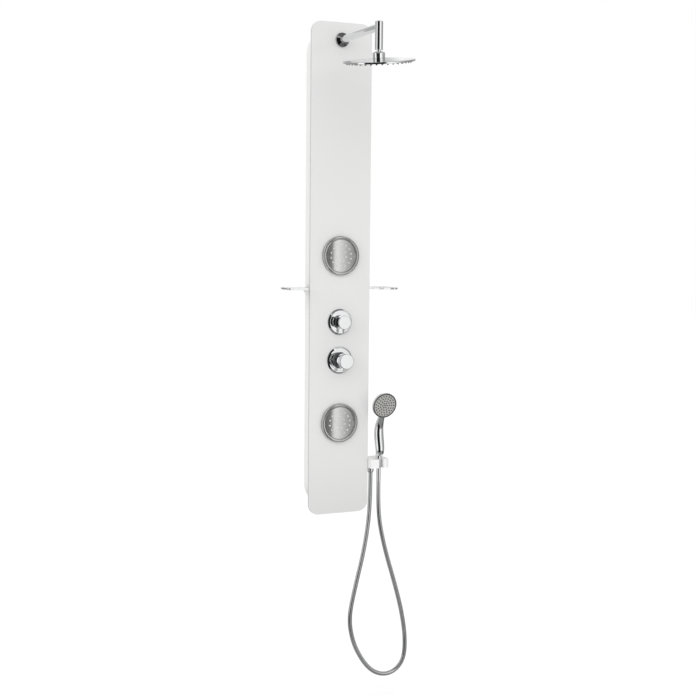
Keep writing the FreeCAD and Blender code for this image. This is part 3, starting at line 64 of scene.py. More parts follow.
# The panel's frame: X to the right, Y into the wall, Z up, in metres, with the origin on the wall.
HOSE_ROUTE = [(0.122, -0.040, -0.634), (0.122, -0.040, -0.700), (0.117, -0.041, -0.790),
              (0.099, -0.043, -0.890), (0.070, -0.046, -0.996), (0.047, -0.049, -1.092),
              (0.058, -0.051, -1.166), (0.086, -0.054, -1.226), (0.118, -0.056, -1.267),
              (0.149, -0.058, -1.286), (0.183, -0.060, -1.290), (0.213, -0.061, -1.277),
              (0.233, -0.063, -1.250), (0.240, -0.064, -1.211), (0.237, -0.065, -1.153),
              (0.222, -0.066, -1.075), (0.196, -0.067, -0.985), (0.164, -0.068, -0.886),
              (0.142, -0.069, -0.796), (0.136, -0.069, -0.726), (0.136, -0.069, -0.659)]
FRONT = Vector((0, -1, 0))
UP = Vector((0, 0, 1))
MILLIMETRE = 0.001

# Heights of what is on the front of the plate
ARM_HEIGHT, DIVERTER_HEIGHT, MIXER_HEIGHT = 0.698, -0.1543, -0.2724
JETS = (0.0485, -0.467)

# Upright axes of the outlet and the water pipes, centre of the rain head's ball and of the handset's face
OUTLET = (0.122, -0.040, 0)
PIPES = (0, -0.029, 0)
BALL = Vector((0, -0.321, 0.618))
HANDSET_FACE = Vector((0.136, -0.103, -0.413))

# Leaning frames of the turned pieces, whose own axis is Z: the rain head, the handset and the plate's front
HEAD_LEAN = Matrix.Rotation(math.radians(9.5), 3, "X") @ Matrix.Rotation(math.radians(-7.25), 3, "Y")
FACE_LEAN = Matrix.Rotation(math.radians(103), 3, "X")
FACE_FRONT = Matrix.Rotation(math.radians(90), 3, "X")

# Stand-off from the wall in millimetres: the front of the plate and of a jet's face
PLATE_FRONT = 65
JET_FACE_FRONT = 72

# Radius in millimetres at which a turned profile closes on its axis
TIP = 0.02

# Rows of jet nozzles: reach in millimetres, the first one's place in degrees, and how many there are
JET_ROWS = ((34, 10.5, 14), (17, 39.5, 7))

# Rings of nozzles in the rain head and the handset: how many, the step from one to the next in millimetres,
# and by how many nozzles each ring has more
RAIN_RINGS, RAIN_STEP, RAIN_GAIN = 7, 15.3, 6
SPRAY_RINGS, SPRAY_STEP, SPRAY_GAIN = 5, 7.6, 5

# Fine turned rings, in metres from one to the next
POLISH_PITCH, TURNED_PITCH = 0.0004, 0.0009

# What polished metal sees round about: degrees from straight in front, to the right positive, and a share
# of the bright cards' strength.
CARDS = [(-180, 0.5), (-150, 0.36), (-92, 0.32), (-85, 1.0), (-69, 1.0), (-64, 0.015), (-5, 0.015), (1, 1.0),
         (15, 1.0), (25, 0.76), (33, 0.70), (42, 0.5), (62, 0.30), (98, 0.26), (118, 0.4), (146, 0.6),
         (149, 0.85), (151.5, 0.4), (153, 0.85), (156, 0.8), (180, 0.5)]

# The camera: place in metres; yaw, downward pitch and roll in degrees; focal length and frame in pixels;
# width of the sensor in millimetres
CAMERA_PLACE = (-1.556, -3.555, 0.085)
CAMERA_TURN = (24.42, 4.78, 0.52)
CAMERA_FOCAL, CAMERA_FRAME, CAMERA_SENSOR = 1245, 696, 36


# ------------------------------------------------------------------ values that a user would change

def colour_value(name, description, default):
    return bpy.props.FloatVectorProperty(name=name, description=description, default=default,
                                         subtype="COLOR", min=0, max=1, size=3)


class ColumnColours(bpy.types.PropertyGroup):
    plate: colour_value("Plate", "Paint behind the front glass", (0.785, 0.785, 0.78))
    casing: colour_value("Casing", "Powder coat of the casing", (0.90, 0.90, 0.89))
    chrome: colour_value("Chrome", "Polished chrome", (0.86, 0.865, 0.87))
    steel: colour_value("Steel", "Brushed stainless steel", (0.62, 0.62, 0.61))
    brass: colour_value("Brass", "Bare brass of the bodies", (0.66, 0.46, 0.19))
    copper: colour_value("Copper", "Water pipes", (0.72, 0.36, 0.22))
    zinc: colour_value("Zinc", "Zinc plate of the brackets and screws", (0.55, 0.57, 0.59))
    silicone: colour_value("Silicone", "Nozzles of the body jets", (0.86, 0.86, 0.85))
    rubber: colour_value("Rubber", "Nozzles of the rain head and the handset, and the seals",
                         (0.05, 0.05, 0.055))


class HoseSizes(bpy.types.PropertyGroup):
    diameter: bpy.props.FloatProperty(name="Diameter", description="Over the ribs of the hose",
                                      default=0.0135, unit="LENGTH", subtype="DISTANCE")
    length: bpy.props.FloatProperty(name="Length", description="Free length of the hose",
                                    default=1.397, unit="LENGTH", subtype="DISTANCE")
    pitch: bpy.props.FloatProperty(name="Rib pitch", description="From one rib to the next",
                                   default=0.0064, unit="LENGTH", subtype="DISTANCE")
    groove: bpy.props.FloatProperty(name="Groove", description="Depth between two ribs",
                                    default=0.0013, unit="LENGTH", subtype="DISTANCE")


class StudioValues(bpy.types.PropertyGroup):
    light: bpy.props.FloatProperty(name="Sky", description="Even light from all round",
                                   default=0.86, min=0)
    key: bpy.props.FloatProperty(name="Key lamp", description="Strength of the soft lamp in front",
                                 default=0.5, min=0)
    side: bpy.props.FloatProperty(name="Side lamp", description="Strength of the lamp from the left",
                                  default=0.8, min=0)
    bright: bpy.props.FloatProperty(name="Bright cards", default=1.2, min=0,
                                    description="How bright polished metal sees the cards")
    floor: bpy.props.FloatProperty(name="Floor height", description="Level of the studio floor",
                                   default=-1.345, unit="LENGTH", subtype="DISTANCE")


GROUPS_OF_VALUES = {"column_colours": ColumnColours, "hose_sizes": HoseSizes, "studio_values": StudioValues}


# ------------------------------------------------------------------ shader nodes

def give(tree, socket, value):
    """Set a socket to a value, or join it to another socket."""
    if isinstance(value, bpy.types.NodeSocket):
        tree.links.new(value, socket)
    else:
        socket.default_value = value


def node(tree, kind, settings=None, **inputs):
    """A shader node with its settings. Its inputs are given by name, or as i and a number."""
    made = tree.nodes.new(f"ShaderNode{kind}")
    for name, value in (settings or {}).items():
        setattr(made, name, value)
    for name, value in inputs.items():
        which = int(name[1:]) if name[1:].isdigit() else name.replace("_", " ")
        give(tree, made.inputs[which], value)
    return made


def maths(tree, operation, *values):
    return node(tree, "Math", {"operation": operation},
                **{f"i{i}": value for i, value in enumerate(values)}).outputs[0]


def vectors(tree, operation, *values, out=0):
    return node(tree, "VectorMath", {"operation": operation},
                **{f"i{i}": value for i, value in enumerate(values)}).outputs[out]


def between(tree, value, low, high, to_low=0.0, to_high=1.0):
    """The value's range low to high, stretched to another range and held at its ends."""
    return node(tree, "MapRange", None, Value=value, From_Min=low, From_Max=high, To_Min=to_low,
                To_Max=to_high).outputs[0]


def blend_colours(tree, share, first, second):
    mix = node(tree, "Mix", {"data_type": "RGBA"}, i0=share, i6=first, i7=second)
    return mix.outputs[2]


def shaded(tree, base, shade):
    """The base colour, multiplied by a grey value."""
    mix = node(tree, "Mix", {"data_type": "RGBA", "blend_type": "MULTIPLY"}, i0=1.0, i6=base, i7=shade)
    return mix.outputs[2]


def part_of(tree, vector, letter):
    """A vector's part along X, Y or Z."""
    return node(tree, "SeparateXYZ", None, Vector=vector).outputs[letter]


def facing(tree, letter):
    """How far the surface faces along an axis, either way: 0 to 1."""
    normal = node(tree, "TexCoord").outputs["Normal"]
    return maths(tree, "ABSOLUTE", part_of(tree, normal, letter))


def noise(tree, where, scale, detail=3.0, roughness=0.55):
    return node(tree, "TexNoise", None, Vector=where, Scale=scale, Detail=detail,
                Roughness=roughness).outputs["Fac"]


def place(tree):
    """The point on the part, in metres of the panel's frame at rest."""
    return node(tree, "TexCoord").outputs["Object"]


def colour(rgb, shade=1.0):
    """A colour as a socket takes it, made darker by a shade."""
    return (*(shade * value for value in rgb), 1)


SOCKETS = {float: "NodeSocketFloat", Vector: "NodeSocketVector"}


def shared_group(name, inputs, outputs):
    """An empty node group with named sockets, and its input and output nodes."""
    group = bpy.data.node_groups.new(name, "ShaderNodeTree")
    for label, value in inputs.items():
        socket = group.interface.new_socket(name=label, in_out="INPUT", socket_type=SOCKETS[type(value)])
        socket.default_value = value
    for label in outputs:
        group.interface.new_socket(name=label, in_out="OUTPUT", socket_type="NodeSocketFloat")
    entry, leave = group.nodes.new("NodeGroupInput"), group.nodes.new("NodeGroupOutput")
    return group, entry.outputs, leave.inputs


def make_smudges():
    """Faint cloudy marks on a polished surface: a roughness between two values."""
    group, given, out = shared_group("smudges", {"Low": 0.04, "High": 0.12, "Scale": 22.0}, ["Value"])
    at = place(group)
    cloud = between(group, noise(group, at, given["Scale"], 5.0), 0.42, 0.72)
    stretched = vectors(group, "MULTIPLY", at, Vector((40, 40, 6)))
    streak = between(group, noise(group, stretched, 4.0), 0.45, 0.8)
    share = maths(group, "MAXIMUM", cloud, streak)
    group.links.new(between(group, share, 0.0, 1.0, given["Low"], given["High"]), out["Value"])


def make_edge_wear():
    """Edges and rims, broken up a little: 1 on a worn edge and 0 on a flat."""
    group, given, out = shared_group("edge wear", {"Start": 0.52, "End": 0.62, "Grain": 900.0}, ["Mask"])
    point = node(group, "NewGeometry").outputs["Pointiness"]
    rim = between(group, point, given["Start"], given["End"])
    grain = between(group, noise(group, place(group), given["Grain"]), 0.35, 0.6)
    group.links.new(maths(group, "MULTIPLY", rim, grain), out["Mask"])


def make_turning():
    """Fine rings about an axis, as a lathe or a polishing wheel leaves them."""
    start = {"Centre": Vector((0, 0, 0)), "Axis": FRONT, "Pitch": POLISH_PITCH}
    group, given, out = shared_group("turning rings", start, ["Height"])
    arm = vectors(group, "SUBTRACT", place(group), given["Centre"])
    along = vectors(group, "DOT_PRODUCT", arm, given["Axis"], out=1)
    foot = node(group, "VectorMath", {"operation": "SCALE"}, i0=given["Axis"], Scale=along).outputs[0]
    across = vectors(group, "SUBTRACT", arm, foot)
    radius = vectors(group, "LENGTH", across, out=1)
    turns = maths(group, "DIVIDE", radius, given["Pitch"])
    rings = node(group, "TexNoise", {"noise_dimensions": "1D"}, W=turns, Scale=1.0, Detail=2.0).outputs[0]
    group.links.new(rings, out["Height"])


def make_water_marks():
    """Small dried drops: rings and dots of lime, thin and scattered."""
    group, given, out = shared_group("water marks", {"Scale": 90.0, "Amount": 0.5}, ["Mask"])
    drops = node(group, "TexVoronoi", {"feature": "F1"}, Vector=place(group), Scale=given["Scale"])
    reach, thickness = 0.2, 0.16
    off_ring = maths(group, "ABSOLUTE", maths(group, "SUBTRACT", drops.outputs["Distance"], reach))
    clear = between(group, maths(group, "SUBTRACT", thickness, off_ring), 0.1, thickness)
    chance = node(group, "SeparateColor", None, Color=drops.outputs["Color"]).outputs[0]
    few = between(group, chance, 0.80, 0.86)
    mask = maths(group, "MULTIPLY", maths(group, "MULTIPLY", clear, few), given["Amount"])
    group.links.new(mask, out["Mask"])


def use_group(tree, name, **inputs):
    made = tree.nodes.new("ShaderNodeGroup")
    made.node_tree = bpy.data.node_groups[name]
    for label, value in inputs.items():
        give(tree, made.inputs[label], value)
    return made


def material(name, **settings):
    """A new material and its Principled BSDF, with plain values set on the shader's own sockets."""
    made = bpy.data.materials.new(name)
    made.use_nodes = True
    shader = made.node_tree.nodes["Principled BSDF"]
    for label, value in settings.items():
        shader.inputs[label.replace("_", " ")].default_value = value
    return made, made.node_tree, shader


def feed(tree, shader, **values):
    for label, value in values.items():
        tree.links.new(value, shader.inputs[label.replace("_", " ")])


def bump(tree, height, strength, distance=0.0002):
    return node(tree, "Bump", None, Height=height, Strength=strength, Distance=distance).outputs[0]


def paint(made, *names):
    for name in names:
        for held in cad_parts[name].material_slots:
            held.material = made


def dress_chrome(name, tint, low=0.03, high=0.09, centre=None, axis=FRONT):
    """Polished chrome over brass or plastic, with smudges, dried drops and slightly dulled edges."""
    made, tree, shader = material(name, Metallic=1.0)
    marks = use_group(tree, "water marks", Scale=110.0, Amount=0.35).outputs[0]
    wear = use_group(tree, "edge wear", Start=0.54, End=0.68).outputs[0]
    base = blend_colours(tree, marks, colour(tint), colour(tint, 0.92))
    rough = maths(tree, "ADD", use_group(tree, "smudges", Low=low, High=high).outputs[0],
                  maths(tree, "MULTIPLY", maths(tree, "ADD", marks, wear), 0.12))
    height = noise(tree, place(tree), 60.0, 1.0)
    if centre is not None:
        rings = use_group(tree, "turning rings", Centre=Vector(centre), Axis=axis, Pitch=POLISH_PITCH)
        height = maths(tree, "ADD", height, maths(tree, "MULTIPLY", rings.outputs[0], 0.05))
    feed(tree, shader, Base_Color=base, Roughness=rough, Normal=bump(tree, height, 0.05, 0.0004))
    return made


def dress_steel(name, tint, rough=0.22, crown=0.11):
    """Steel brushed from side to side. Its grain spreads the light as a crown of this radius would."""
    made, tree, shader = material(name, Metallic=0.78)
    # How close the grain is along X, Y and Z, and how deep it is in metres, the unit of the bump
    stretch, scratch, metre = Vector((30, 30, 4200)), 0.000001, 1.0
    grain = noise(tree, vectors(tree, "MULTIPLY", place(tree), stretch), 1.0, 3.0)
    base = shaded(tree, colour(tint), between(tree, grain, 0.3, 0.7, 0.97, 1.03))
    across = part_of(tree, place(tree), "X")
    drop = maths(tree, "DIVIDE", maths(tree, "MULTIPLY", across, across), -2 * crown)
    height = maths(tree, "ADD", drop, maths(tree, "MULTIPLY", grain, scratch))
    feed(tree, shader, Base_Color=base, Normal=bump(tree, height, 1.0, metre),
         Roughness=between(tree, grain, 0.3, 0.7, rough - 0.02, rough + 0.02))
    return made


def dress_plastic(name, tint, rough, grain=1400.0, depth=0.12, coat=0.0):
    """Moulded plastic with a fine grain and slightly paler edges."""
    made, tree, shader = material(name, Coat_Weight=coat, Coat_Roughness=0.06, IOR=1.49)
    fine = noise(tree, place(tree), grain, 2.0)
    cloud = noise(tree, place(tree), 14.0, 4.0)
    wear = use_group(tree, "edge wear").outputs[0]
    shade = blend_colours(tree, between(tree, cloud, 0.3, 0.7), colour(tint, 0.94), colour(tint))
    pale = colour([value + (1 - value) * 0.25 for value in tint])
    feed(tree, shader, Base_Color=blend_colours(tree, wear, shade, pale),
         Roughness=between(tree, cloud, 0.3, 0.7, rough * 0.85, rough * 1.15),
         Normal=bump(tree, fine, depth, 0.00005))
    return made


def dress_brass(name, tint, centre, axis, dull=0.34):
    """Turned and as-cast brass, browned in patches."""
    made, tree, shader = material(name, Metallic=1.0)
    rings = use_group(tree, "turning rings", Centre=Vector(centre), Axis=axis, Pitch=TURNED_PITCH)
    cast = noise(tree, place(tree), 420.0, 4.0)
    tarnish = between(tree, noise(tree, place(tree), 36.0, 6.0), 0.42, 0.68)
    brown = (0.55, 0.48, 0.42)
    browned = colour([value * share for value, share in zip(tint, brown)])
    base = blend_colours(tree, tarnish, colour(tint), browned)
    height = maths(tree, "ADD", cast, maths(tree, "MULTIPLY", rings.outputs[0], 0.6))
    feed(tree, shader, Base_Color=base, Roughness=between(tree, tarnish, 0, 1, dull - 0.08, dull + 0.2),
         Normal=bump(tree, height, 0.3, 0.00012))
    return made


# ------------------------------------------------------------------ meshes

def new_piece(name, mesh_builder, look, body, slot, *replaced):
    """A smooth, dressed piece. It rides on its body, if one is named, and hides what it replaces."""
    mesh = bpy.data.meshes.new(name)
    made = bmesh.new()
    mesh_builder(made)
    bmesh.ops.recalc_face_normals(made, faces=made.faces)
    made.to_mesh(mesh)
    made.free()
    for face in mesh.polygons:
        face.use_smooth = True
    mesh.materials.append(look)
    piece = bpy.data.objects.new(name, mesh)
    bpy.context.scene.collection.objects.link(piece)
    if body:
        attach(piece, body)
    if replaced:
        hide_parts(*replaced)
    return piece


def add_rings(made, rings, closed_ends=True):
    """Faces between rings of points that follow one another."""
    loops = [[made.verts.new(point) for point in ring] for ring in rings]
    for first, second in zip(loops, loops[1:]):
        count = len(first)
        for i in range(count):
            made.faces.new((first[i], first[(i + 1) % count], second[(i + 1) % count], second[i]))
    if closed_ends:
        made.faces.new(loops[0][::-1])
        made.faces.new(loops[-1])
    return loops


def circle(sides):
    """Evenly spaced points of a circle with a radius of 1."""
    angles = [2 * math.pi * i / sides for i in range(sides)]
    return [(math.cos(angle), math.sin(angle)) for angle in angles]


def turned_in(made, centre, lean, profile, sides, closed_ends=True):
    """A profile of (radius, level) in millimetres, turned about the Z axis of a leaning frame."""
    around = circle(sides)
    rings = [[centre + lean @ Vector((radius * x, radius * y, level)) * MILLIMETRE for x, y in around]
             for radius, level in profile]
    add_rings(made, rings, closed_ends)


def disc(radius, low, high):
    """The profile of a flat disc."""
    return [(TIP, low), (radius, low), (radius, high), (TIP, high)]


def spots(reach, count, begin=0.0):
    """Points spaced evenly on a circle, in metres; the reach is in millimetres and the start in degrees."""
    angles = [math.radians(begin + 360 * i / count) for i in range(count)]
    return [Vector((math.cos(a), math.sin(a), 0)) * reach * MILLIMETRE for a in angles]


def spline_points(route):
    """The smooth line of the hose: what its NURBS spline gives without any thickness."""
    curve = bpy.data.curves.new("hose_line", "CURVE")
    curve.dimensions = "3D"
    curve.resolution_u = 24
    spline = curve.splines.new("NURBS")
    spline.points.add(len(route) - 1)
    for point, place_of_it in zip(spline.points, route):
        point.co = (*place_of_it, 1)
    spline.order_u = 3
    spline.use_endpoint_u = True
    holder = bpy.data.objects.new("hose_line", curve)
    bpy.context.scene.collection.objects.link(holder)
    bpy.context.view_layer.update()
    mesh = bpy.data.meshes.new_from_object(holder.evaluated_get(bpy.context.evaluated_depsgraph_get()))
    points = [vertex.co.copy() for vertex in mesh.vertices]
    bpy.data.objects.remove(holder)
    bpy.data.meshes.remove(mesh)
    return points


def walk(points, distances):
    """Points and directions at these distances along a line of points."""
    found, index, passed = [], 0, 0.0
    for distance in distances:
        while index < len(points) - 2 and passed + (points[index + 1] - points[index]).length < distance:
            passed += (points[index + 1] - points[index]).length
            index += 1
        run = points[index + 1] - points[index]
        share = (distance - passed) / run.length
        before = points[max(index - 1, 0)]
        after = points[min(index + 2, len(points) - 1)]
        smooth = run.normalized().lerp((after - before).normalized(), 0.5).normalized()
        found.append((points[index] + run * share, smooth))
    return found


# ------------------------------------------------------------------ operators

class ColumnOperator:
    bl_options = {"REGISTER", "UNDO"}

    @property
    def colours(self):
        return bpy.context.scene.column_colours


class COLUMN_OT_effects(ColumnOperator, bpy.types.Operator):
    """Make the shader groups that the finishes share"""
    bl_idname = "column.effects"
    bl_label = "Shared effects"

    def execute(self, context):
        make_smudges()
        make_edge_wear()
        make_turning()
        make_water_marks()
        return {"FINISHED"}


class COLUMN_OT_plate(ColumnOperator, bpy.types.Operator):
    """Finish the painted front glass, the casing behind it and the bead of adhesive between them"""
    bl_idname = "column.plate"
    bl_label = "Front plate and casing"

    def execute(self, context):
        tint = list(self.colours.plate)
        made, tree, shader = material("painted_glass", IOR=1.45, Coat_Weight=0.35, Coat_Roughness=0.1,
                                      Coat_IOR=1.5)
        side = between(tree, facing(tree, "Y"), 0.35, 0.8, 1.0, 0.0)
        cloud = noise(tree, place(tree), 5.0, 3.0)
        face = blend_colours(tree, between(tree, cloud, 0.3, 0.7), colour(tint, 0.985), colour(tint))
        # Painted shade: the paint is darkened towards the foot of the plate, where less light falls
        height, foot, painted_shade_end = part_of(tree, place(tree), "Z"), -0.75, -0.5
        face = shaded(tree, face, between(tree, height, foot, painted_shade_end, 0.9, 1.0))
        glass_edge = colour((0.50, 0.52, 0.515))
        base = blend_colours(tree, side, face, glass_edge)
        marks = use_group(tree, "water marks", Scale=60.0, Amount=0.4).outputs[0]
        rough = maths(tree, "ADD", maths(tree, "MULTIPLY", marks, 0.2),
                      use_group(tree, "smudges", Low=0.29, High=0.31, Scale=6.0).outputs[0])
        feed(tree, shader, Base_Color=base, Roughness=rough,
             Normal=bump(tree, noise(tree, place(tree), 9.0, 1.0), 0.03, 0.0004))
        paint(made, "front_plate")

        tint = list(self.colours.casing)
        made, tree, shader = material("powder_coat", IOR=1.5)
        peel = noise(tree, place(tree), 950.0, 2.0)
        wear = use_group(tree, "edge wear", Start=0.53, End=0.6).outputs[0]
        base = blend_colours(tree, wear, colour(tint), colour(tint, 0.8))
        feed(tree, shader, Base_Color=base, Roughness=between(tree, peel, 0.3, 0.7, 0.34, 0.46),
             Normal=bump(tree, peel, 0.35, 0.00008))
        paint(made, "rear_casing")
        bead = dress_plastic("adhesive_bead", (0.62, 0.62, 0.60), rough=0.6, grain=500.0, depth=0.3)
        paint(bead, "bonding_strip")
        return {"FINISHED"}


class COLUMN_OT_shelves(ColumnOperator, bpy.types.Operator):
    """Finish the clear glass shelves"""
    bl_idname = "column.shelves"
    bl_label = "Glass shelves"

    def execute(self, context):
        made, tree, shader = material("clear_glass", IOR=1.5, Transmission_Weight=1.0)
        edge = between(tree, facing(tree, "Z"), 0.3, 0.8, 1.0, 0.0)
        ground = noise(tree, place(tree), 1800.0, 2.0)
        clear, ground_edge = colour((0.985, 0.99, 0.988)), colour((0.88, 0.90, 0.895))
        base = blend_colours(tree, edge, clear, ground_edge)
        rough = maths(tree, "MULTIPLY", edge, between(tree, ground, 0.3, 0.7, 0.18, 0.3))
        marks = use_group(tree, "water marks", Scale=80.0, Amount=0.2).outputs[0]
        feed(tree, shader, Base_Color=base, Roughness=maths(tree, "ADD", rough, marks),
             Normal=bump(tree, ground, 0.05, 0.00003))
        paint(made, "left_shelf", "right_shelf")
        return {"FINISHED"}


class COLUMN_OT_chrome(ColumnOperator, bpy.types.Operator):
    """Finish the chrome of the arm, the trims, the knobs, the handset and the ends of the hose"""
    bl_idname = "column.chrome"
    bl_label = "Chrome parts"

    def execute(self, context):
        tint = list(self.colours.chrome)
        # Painted reflection: the arm's rosette gets a much darker copy of the chrome, standing in for the
        # dark surroundings it reflects
        paint(dress_chrome("rosette_chrome_painted_dark", [0.45 * value for value in tint]), "arm_rosette")
        paint(dress_chrome("chrome", tint), "shower_arm", "drop_pipe", "ball_stem", "ball_nut", "lock_nuts",
              "diverter_lever", "mixer_lever", "hose_outlet_nut", "hose_cone_nut", "handset_collar",
              "hose_ferrule")
        paint(dress_chrome("chrome_diverter", tint, centre=(0, 0, DIVERTER_HEIGHT)), "diverter_knob",
              "diverter_rosette")
        paint(dress_chrome("chrome_mixer", tint, centre=(0, 0, MIXER_HEIGHT)), "mixer_knob",
              "mixer_rosette", "mixer_stem")
        bright, dark = [1.02 * value for value in tint], [0.42 * value for value in tint]
        paint(dress_chrome("chrome_plastic", bright, low=0.05, high=0.11), "handset_body")
        paint(dress_chrome("rim_chrome", dark, low=0.1, high=0.2), "handset_trim_ring")
        return {"FINISHED"}


class COLUMN_OT_steel(ColumnOperator, bpy.types.Operator):
    """Finish the steel of the rain head and of the faces and bezels of the body jets"""
    bl_idname = "column.steel"
    bl_label = "Steel faces"

    def execute(self, context):
        tint = list(self.colours.steel)
        paint(dress_steel("satin_steel", tint), "upper_jet_face", "lower_jet_face")
        darker = [0.8 * value for value in tint]
        paint(dress_steel("bezel_steel", darker, rough=0.12, crown=0.12), "upper_jet_bezel",
              "lower_jet_bezel")
        polished = [0.9 * value for value in self.colours.chrome]
        paint(dress_chrome("polished_steel", polished, low=0.04, high=0.10, centre=BALL,
                           axis=HEAD_LEAN @ UP), "head_shell", "head_face")
        return {"FINISHED"}


class COLUMN_OT_inside(ColumnOperator, bpy.types.Operator):
    """Finish the brass, copper, zinc, plastic and rubber behind the plate and inside other pieces"""
    bl_idname = "column.inside"
    bl_label = "Parts behind the plate"

    def execute(self, context):
        brass = list(self.colours.brass)
        paint(dress_brass("brass_diverter", brass, (0, 0, DIVERTER_HEIGHT), FRONT), "diverter_body",
              "diverter_spindle")
        paint(dress_brass("brass_mixer", brass, (0, 0, MIXER_HEIGHT), FRONT), "mixer_body", "inlet_unions")
        paint(dress_brass("brass_arm", brass, (0, 0, ARM_HEIGHT), FRONT), "arm_elbow")
        paint(dress_brass("brass_outlet", brass, OUTLET, UP, dull=0.28), "outlet_elbow")
        paint(dress_brass("copper", list(self.colours.copper), PIPES, UP, dull=0.3), "water_pipes")
        zinc, tree, shader = material("zinc_plate", Metallic=1.0)
        spangle = node(tree, "TexVoronoi", None, Vector=place(tree), Scale=160.0).outputs["Color"]
        value = node(tree, "SeparateColor", None, Color=spangle).outputs[0]
        tint = list(self.colours.zinc)
        feed(tree, shader, Base_Color=blend_colours(tree, value, colour(tint, 0.86), colour(tint)),
             Roughness=between(tree, value, 0, 1, 0.3, 0.48),
             Normal=bump(tree, noise(tree, place(tree), 700.0), 0.1, 0.00005))
        paint(zinc, "wall_brackets", "cross_rails", "side_screws", "diverter_grub_screw",
              "mixer_grub_screw", "mixer_pivot_pin")
        paint(dress_plastic("cartridge_plastic", (0.72, 0.72, 0.68), rough=0.42), "diverter_cartridge",
              "mixer_cartridge", "mixer_carrier", "ball_seat", "inlet_check_valves", "jet_nuts")
        paint(dress_plastic("jet_plastic", (0.06, 0.062, 0.066), rough=0.45), "jet_bodies")
        rubber = list(self.colours.rubber)
        paint(dress_plastic("seal_rubber", rubber, rough=0.6, grain=700.0, depth=0.3), "ball_seal",
              "hose_washer")
        return {"FINISHED"}


class COLUMN_OT_plastics(ColumnOperator, bpy.types.Operator):
    """Finish the white bracket, the shelf angles and the face of the handset"""
    bl_idname = "column.plastics"
    bl_label = "Plastic parts"

    def execute(self, context):
        white = dress_plastic("white_plastic", (0.89, 0.89, 0.885), rough=0.22, grain=900.0, depth=0.06,
                              coat=0.4)
        paint(white, "handset_bracket", "shelf_clips")
        grey = dress_plastic("grey_plastic", (0.40, 0.395, 0.365), rough=0.34, grain=1600.0, depth=0.15)
        paint(grey, "handset_face")
        return {"FINISHED"}


class COLUMN_OT_nozzles(ColumnOperator, bpy.types.Operator):
    """Make the soft tapered nozzles of the body jets, the rain head and the handset"""
    bl_idname = "column.nozzles"
    bl_label = "Soft nozzles"

    def execute(self, context):
        silicone, rubber = list(self.colours.silicone), list(self.colours.rubber)
        white = dress_plastic("jet_silicone", silicone, rough=0.45, grain=1500.0, depth=0.2)
        dark = dress_plastic("nozzle_rubber", rubber, rough=0.5, grain=1500.0, depth=0.2)

        # Each profile is (radius, level) in millimetres, from the nozzle's foot to the bottom of its bore.
        # The flat disc is the mat that carries the nozzles, behind the face that they come through.
        def jets(made):
            profile = [(2.5, 68.4), (2.5, 72.0), (2.42, 72.7), (2.1, 73.3), (1.5, 73.6), (1.0, 73.5),
                       (0.9, 73.1), (0.9, 70.5), (TIP, 70.5)]
            for height in JETS:
                centre = Vector((0, 0, height))
                turned_in(made, centre, FACE_FRONT, disc(45, 67, 68.5), sides=64)
                for reach, begin, count in JET_ROWS:
                    for spot in spots(reach, count, begin):
                        turned_in(made, centre + FACE_FRONT @ spot, FACE_FRONT, profile, sides=20)

        new_piece("jet_nozzles_soft", jets, white, "column", "white_silicone", "jet_nozzles")

        def rain(made):
            profile = [(1.9, -16.2), (1.9, -18.0), (1.75, -19.5), (1.5, -21.1), (1.2, -21.5), (0.7, -21.4),
                       (0.6, -21.0), (0.6, -19.0), (TIP, -19.0)]
            turned_in(made, BALL, HEAD_LEAN, disc(100, -16.3, -14.8), sides=96)
            for ring in range(RAIN_RINGS):
                for spot in spots(RAIN_STEP * ring, max(RAIN_GAIN * ring, 1)):
                    turned_in(made, BALL + HEAD_LEAN @ spot, HEAD_LEAN, profile, sides=14)

        new_piece("rain_nozzles_soft", rain, dark, "rain_head", "grey_silicone", "rain_nozzle_mat")

        def spray(made):
            profile = [(2.6, 6.6), (2.6, 7.15), (2.4, 7.35), (1.3, 7.4), (1.1, 7.6), (0.95, 8.0),
                       (0.55, 8.0), (0.45, 7.7), (0.45, 7.0), (TIP, 7.0)]
            turned_in(made, HANDSET_FACE, FACE_LEAN, disc(32.5, 3.5, 5), sides=64)
            for ring in range(SPRAY_RINGS):
                for spot in spots(SPRAY_STEP * ring, SPRAY_GAIN * ring + 1):
                    turned_in(made, HANDSET_FACE + FACE_LEAN @ spot, FACE_LEAN, profile, sides=16)

        new_piece("handset_nozzles_soft", spray, dark, "handset", "grey_silicone", "handset_nozzles")
        return {"FINISHED"}


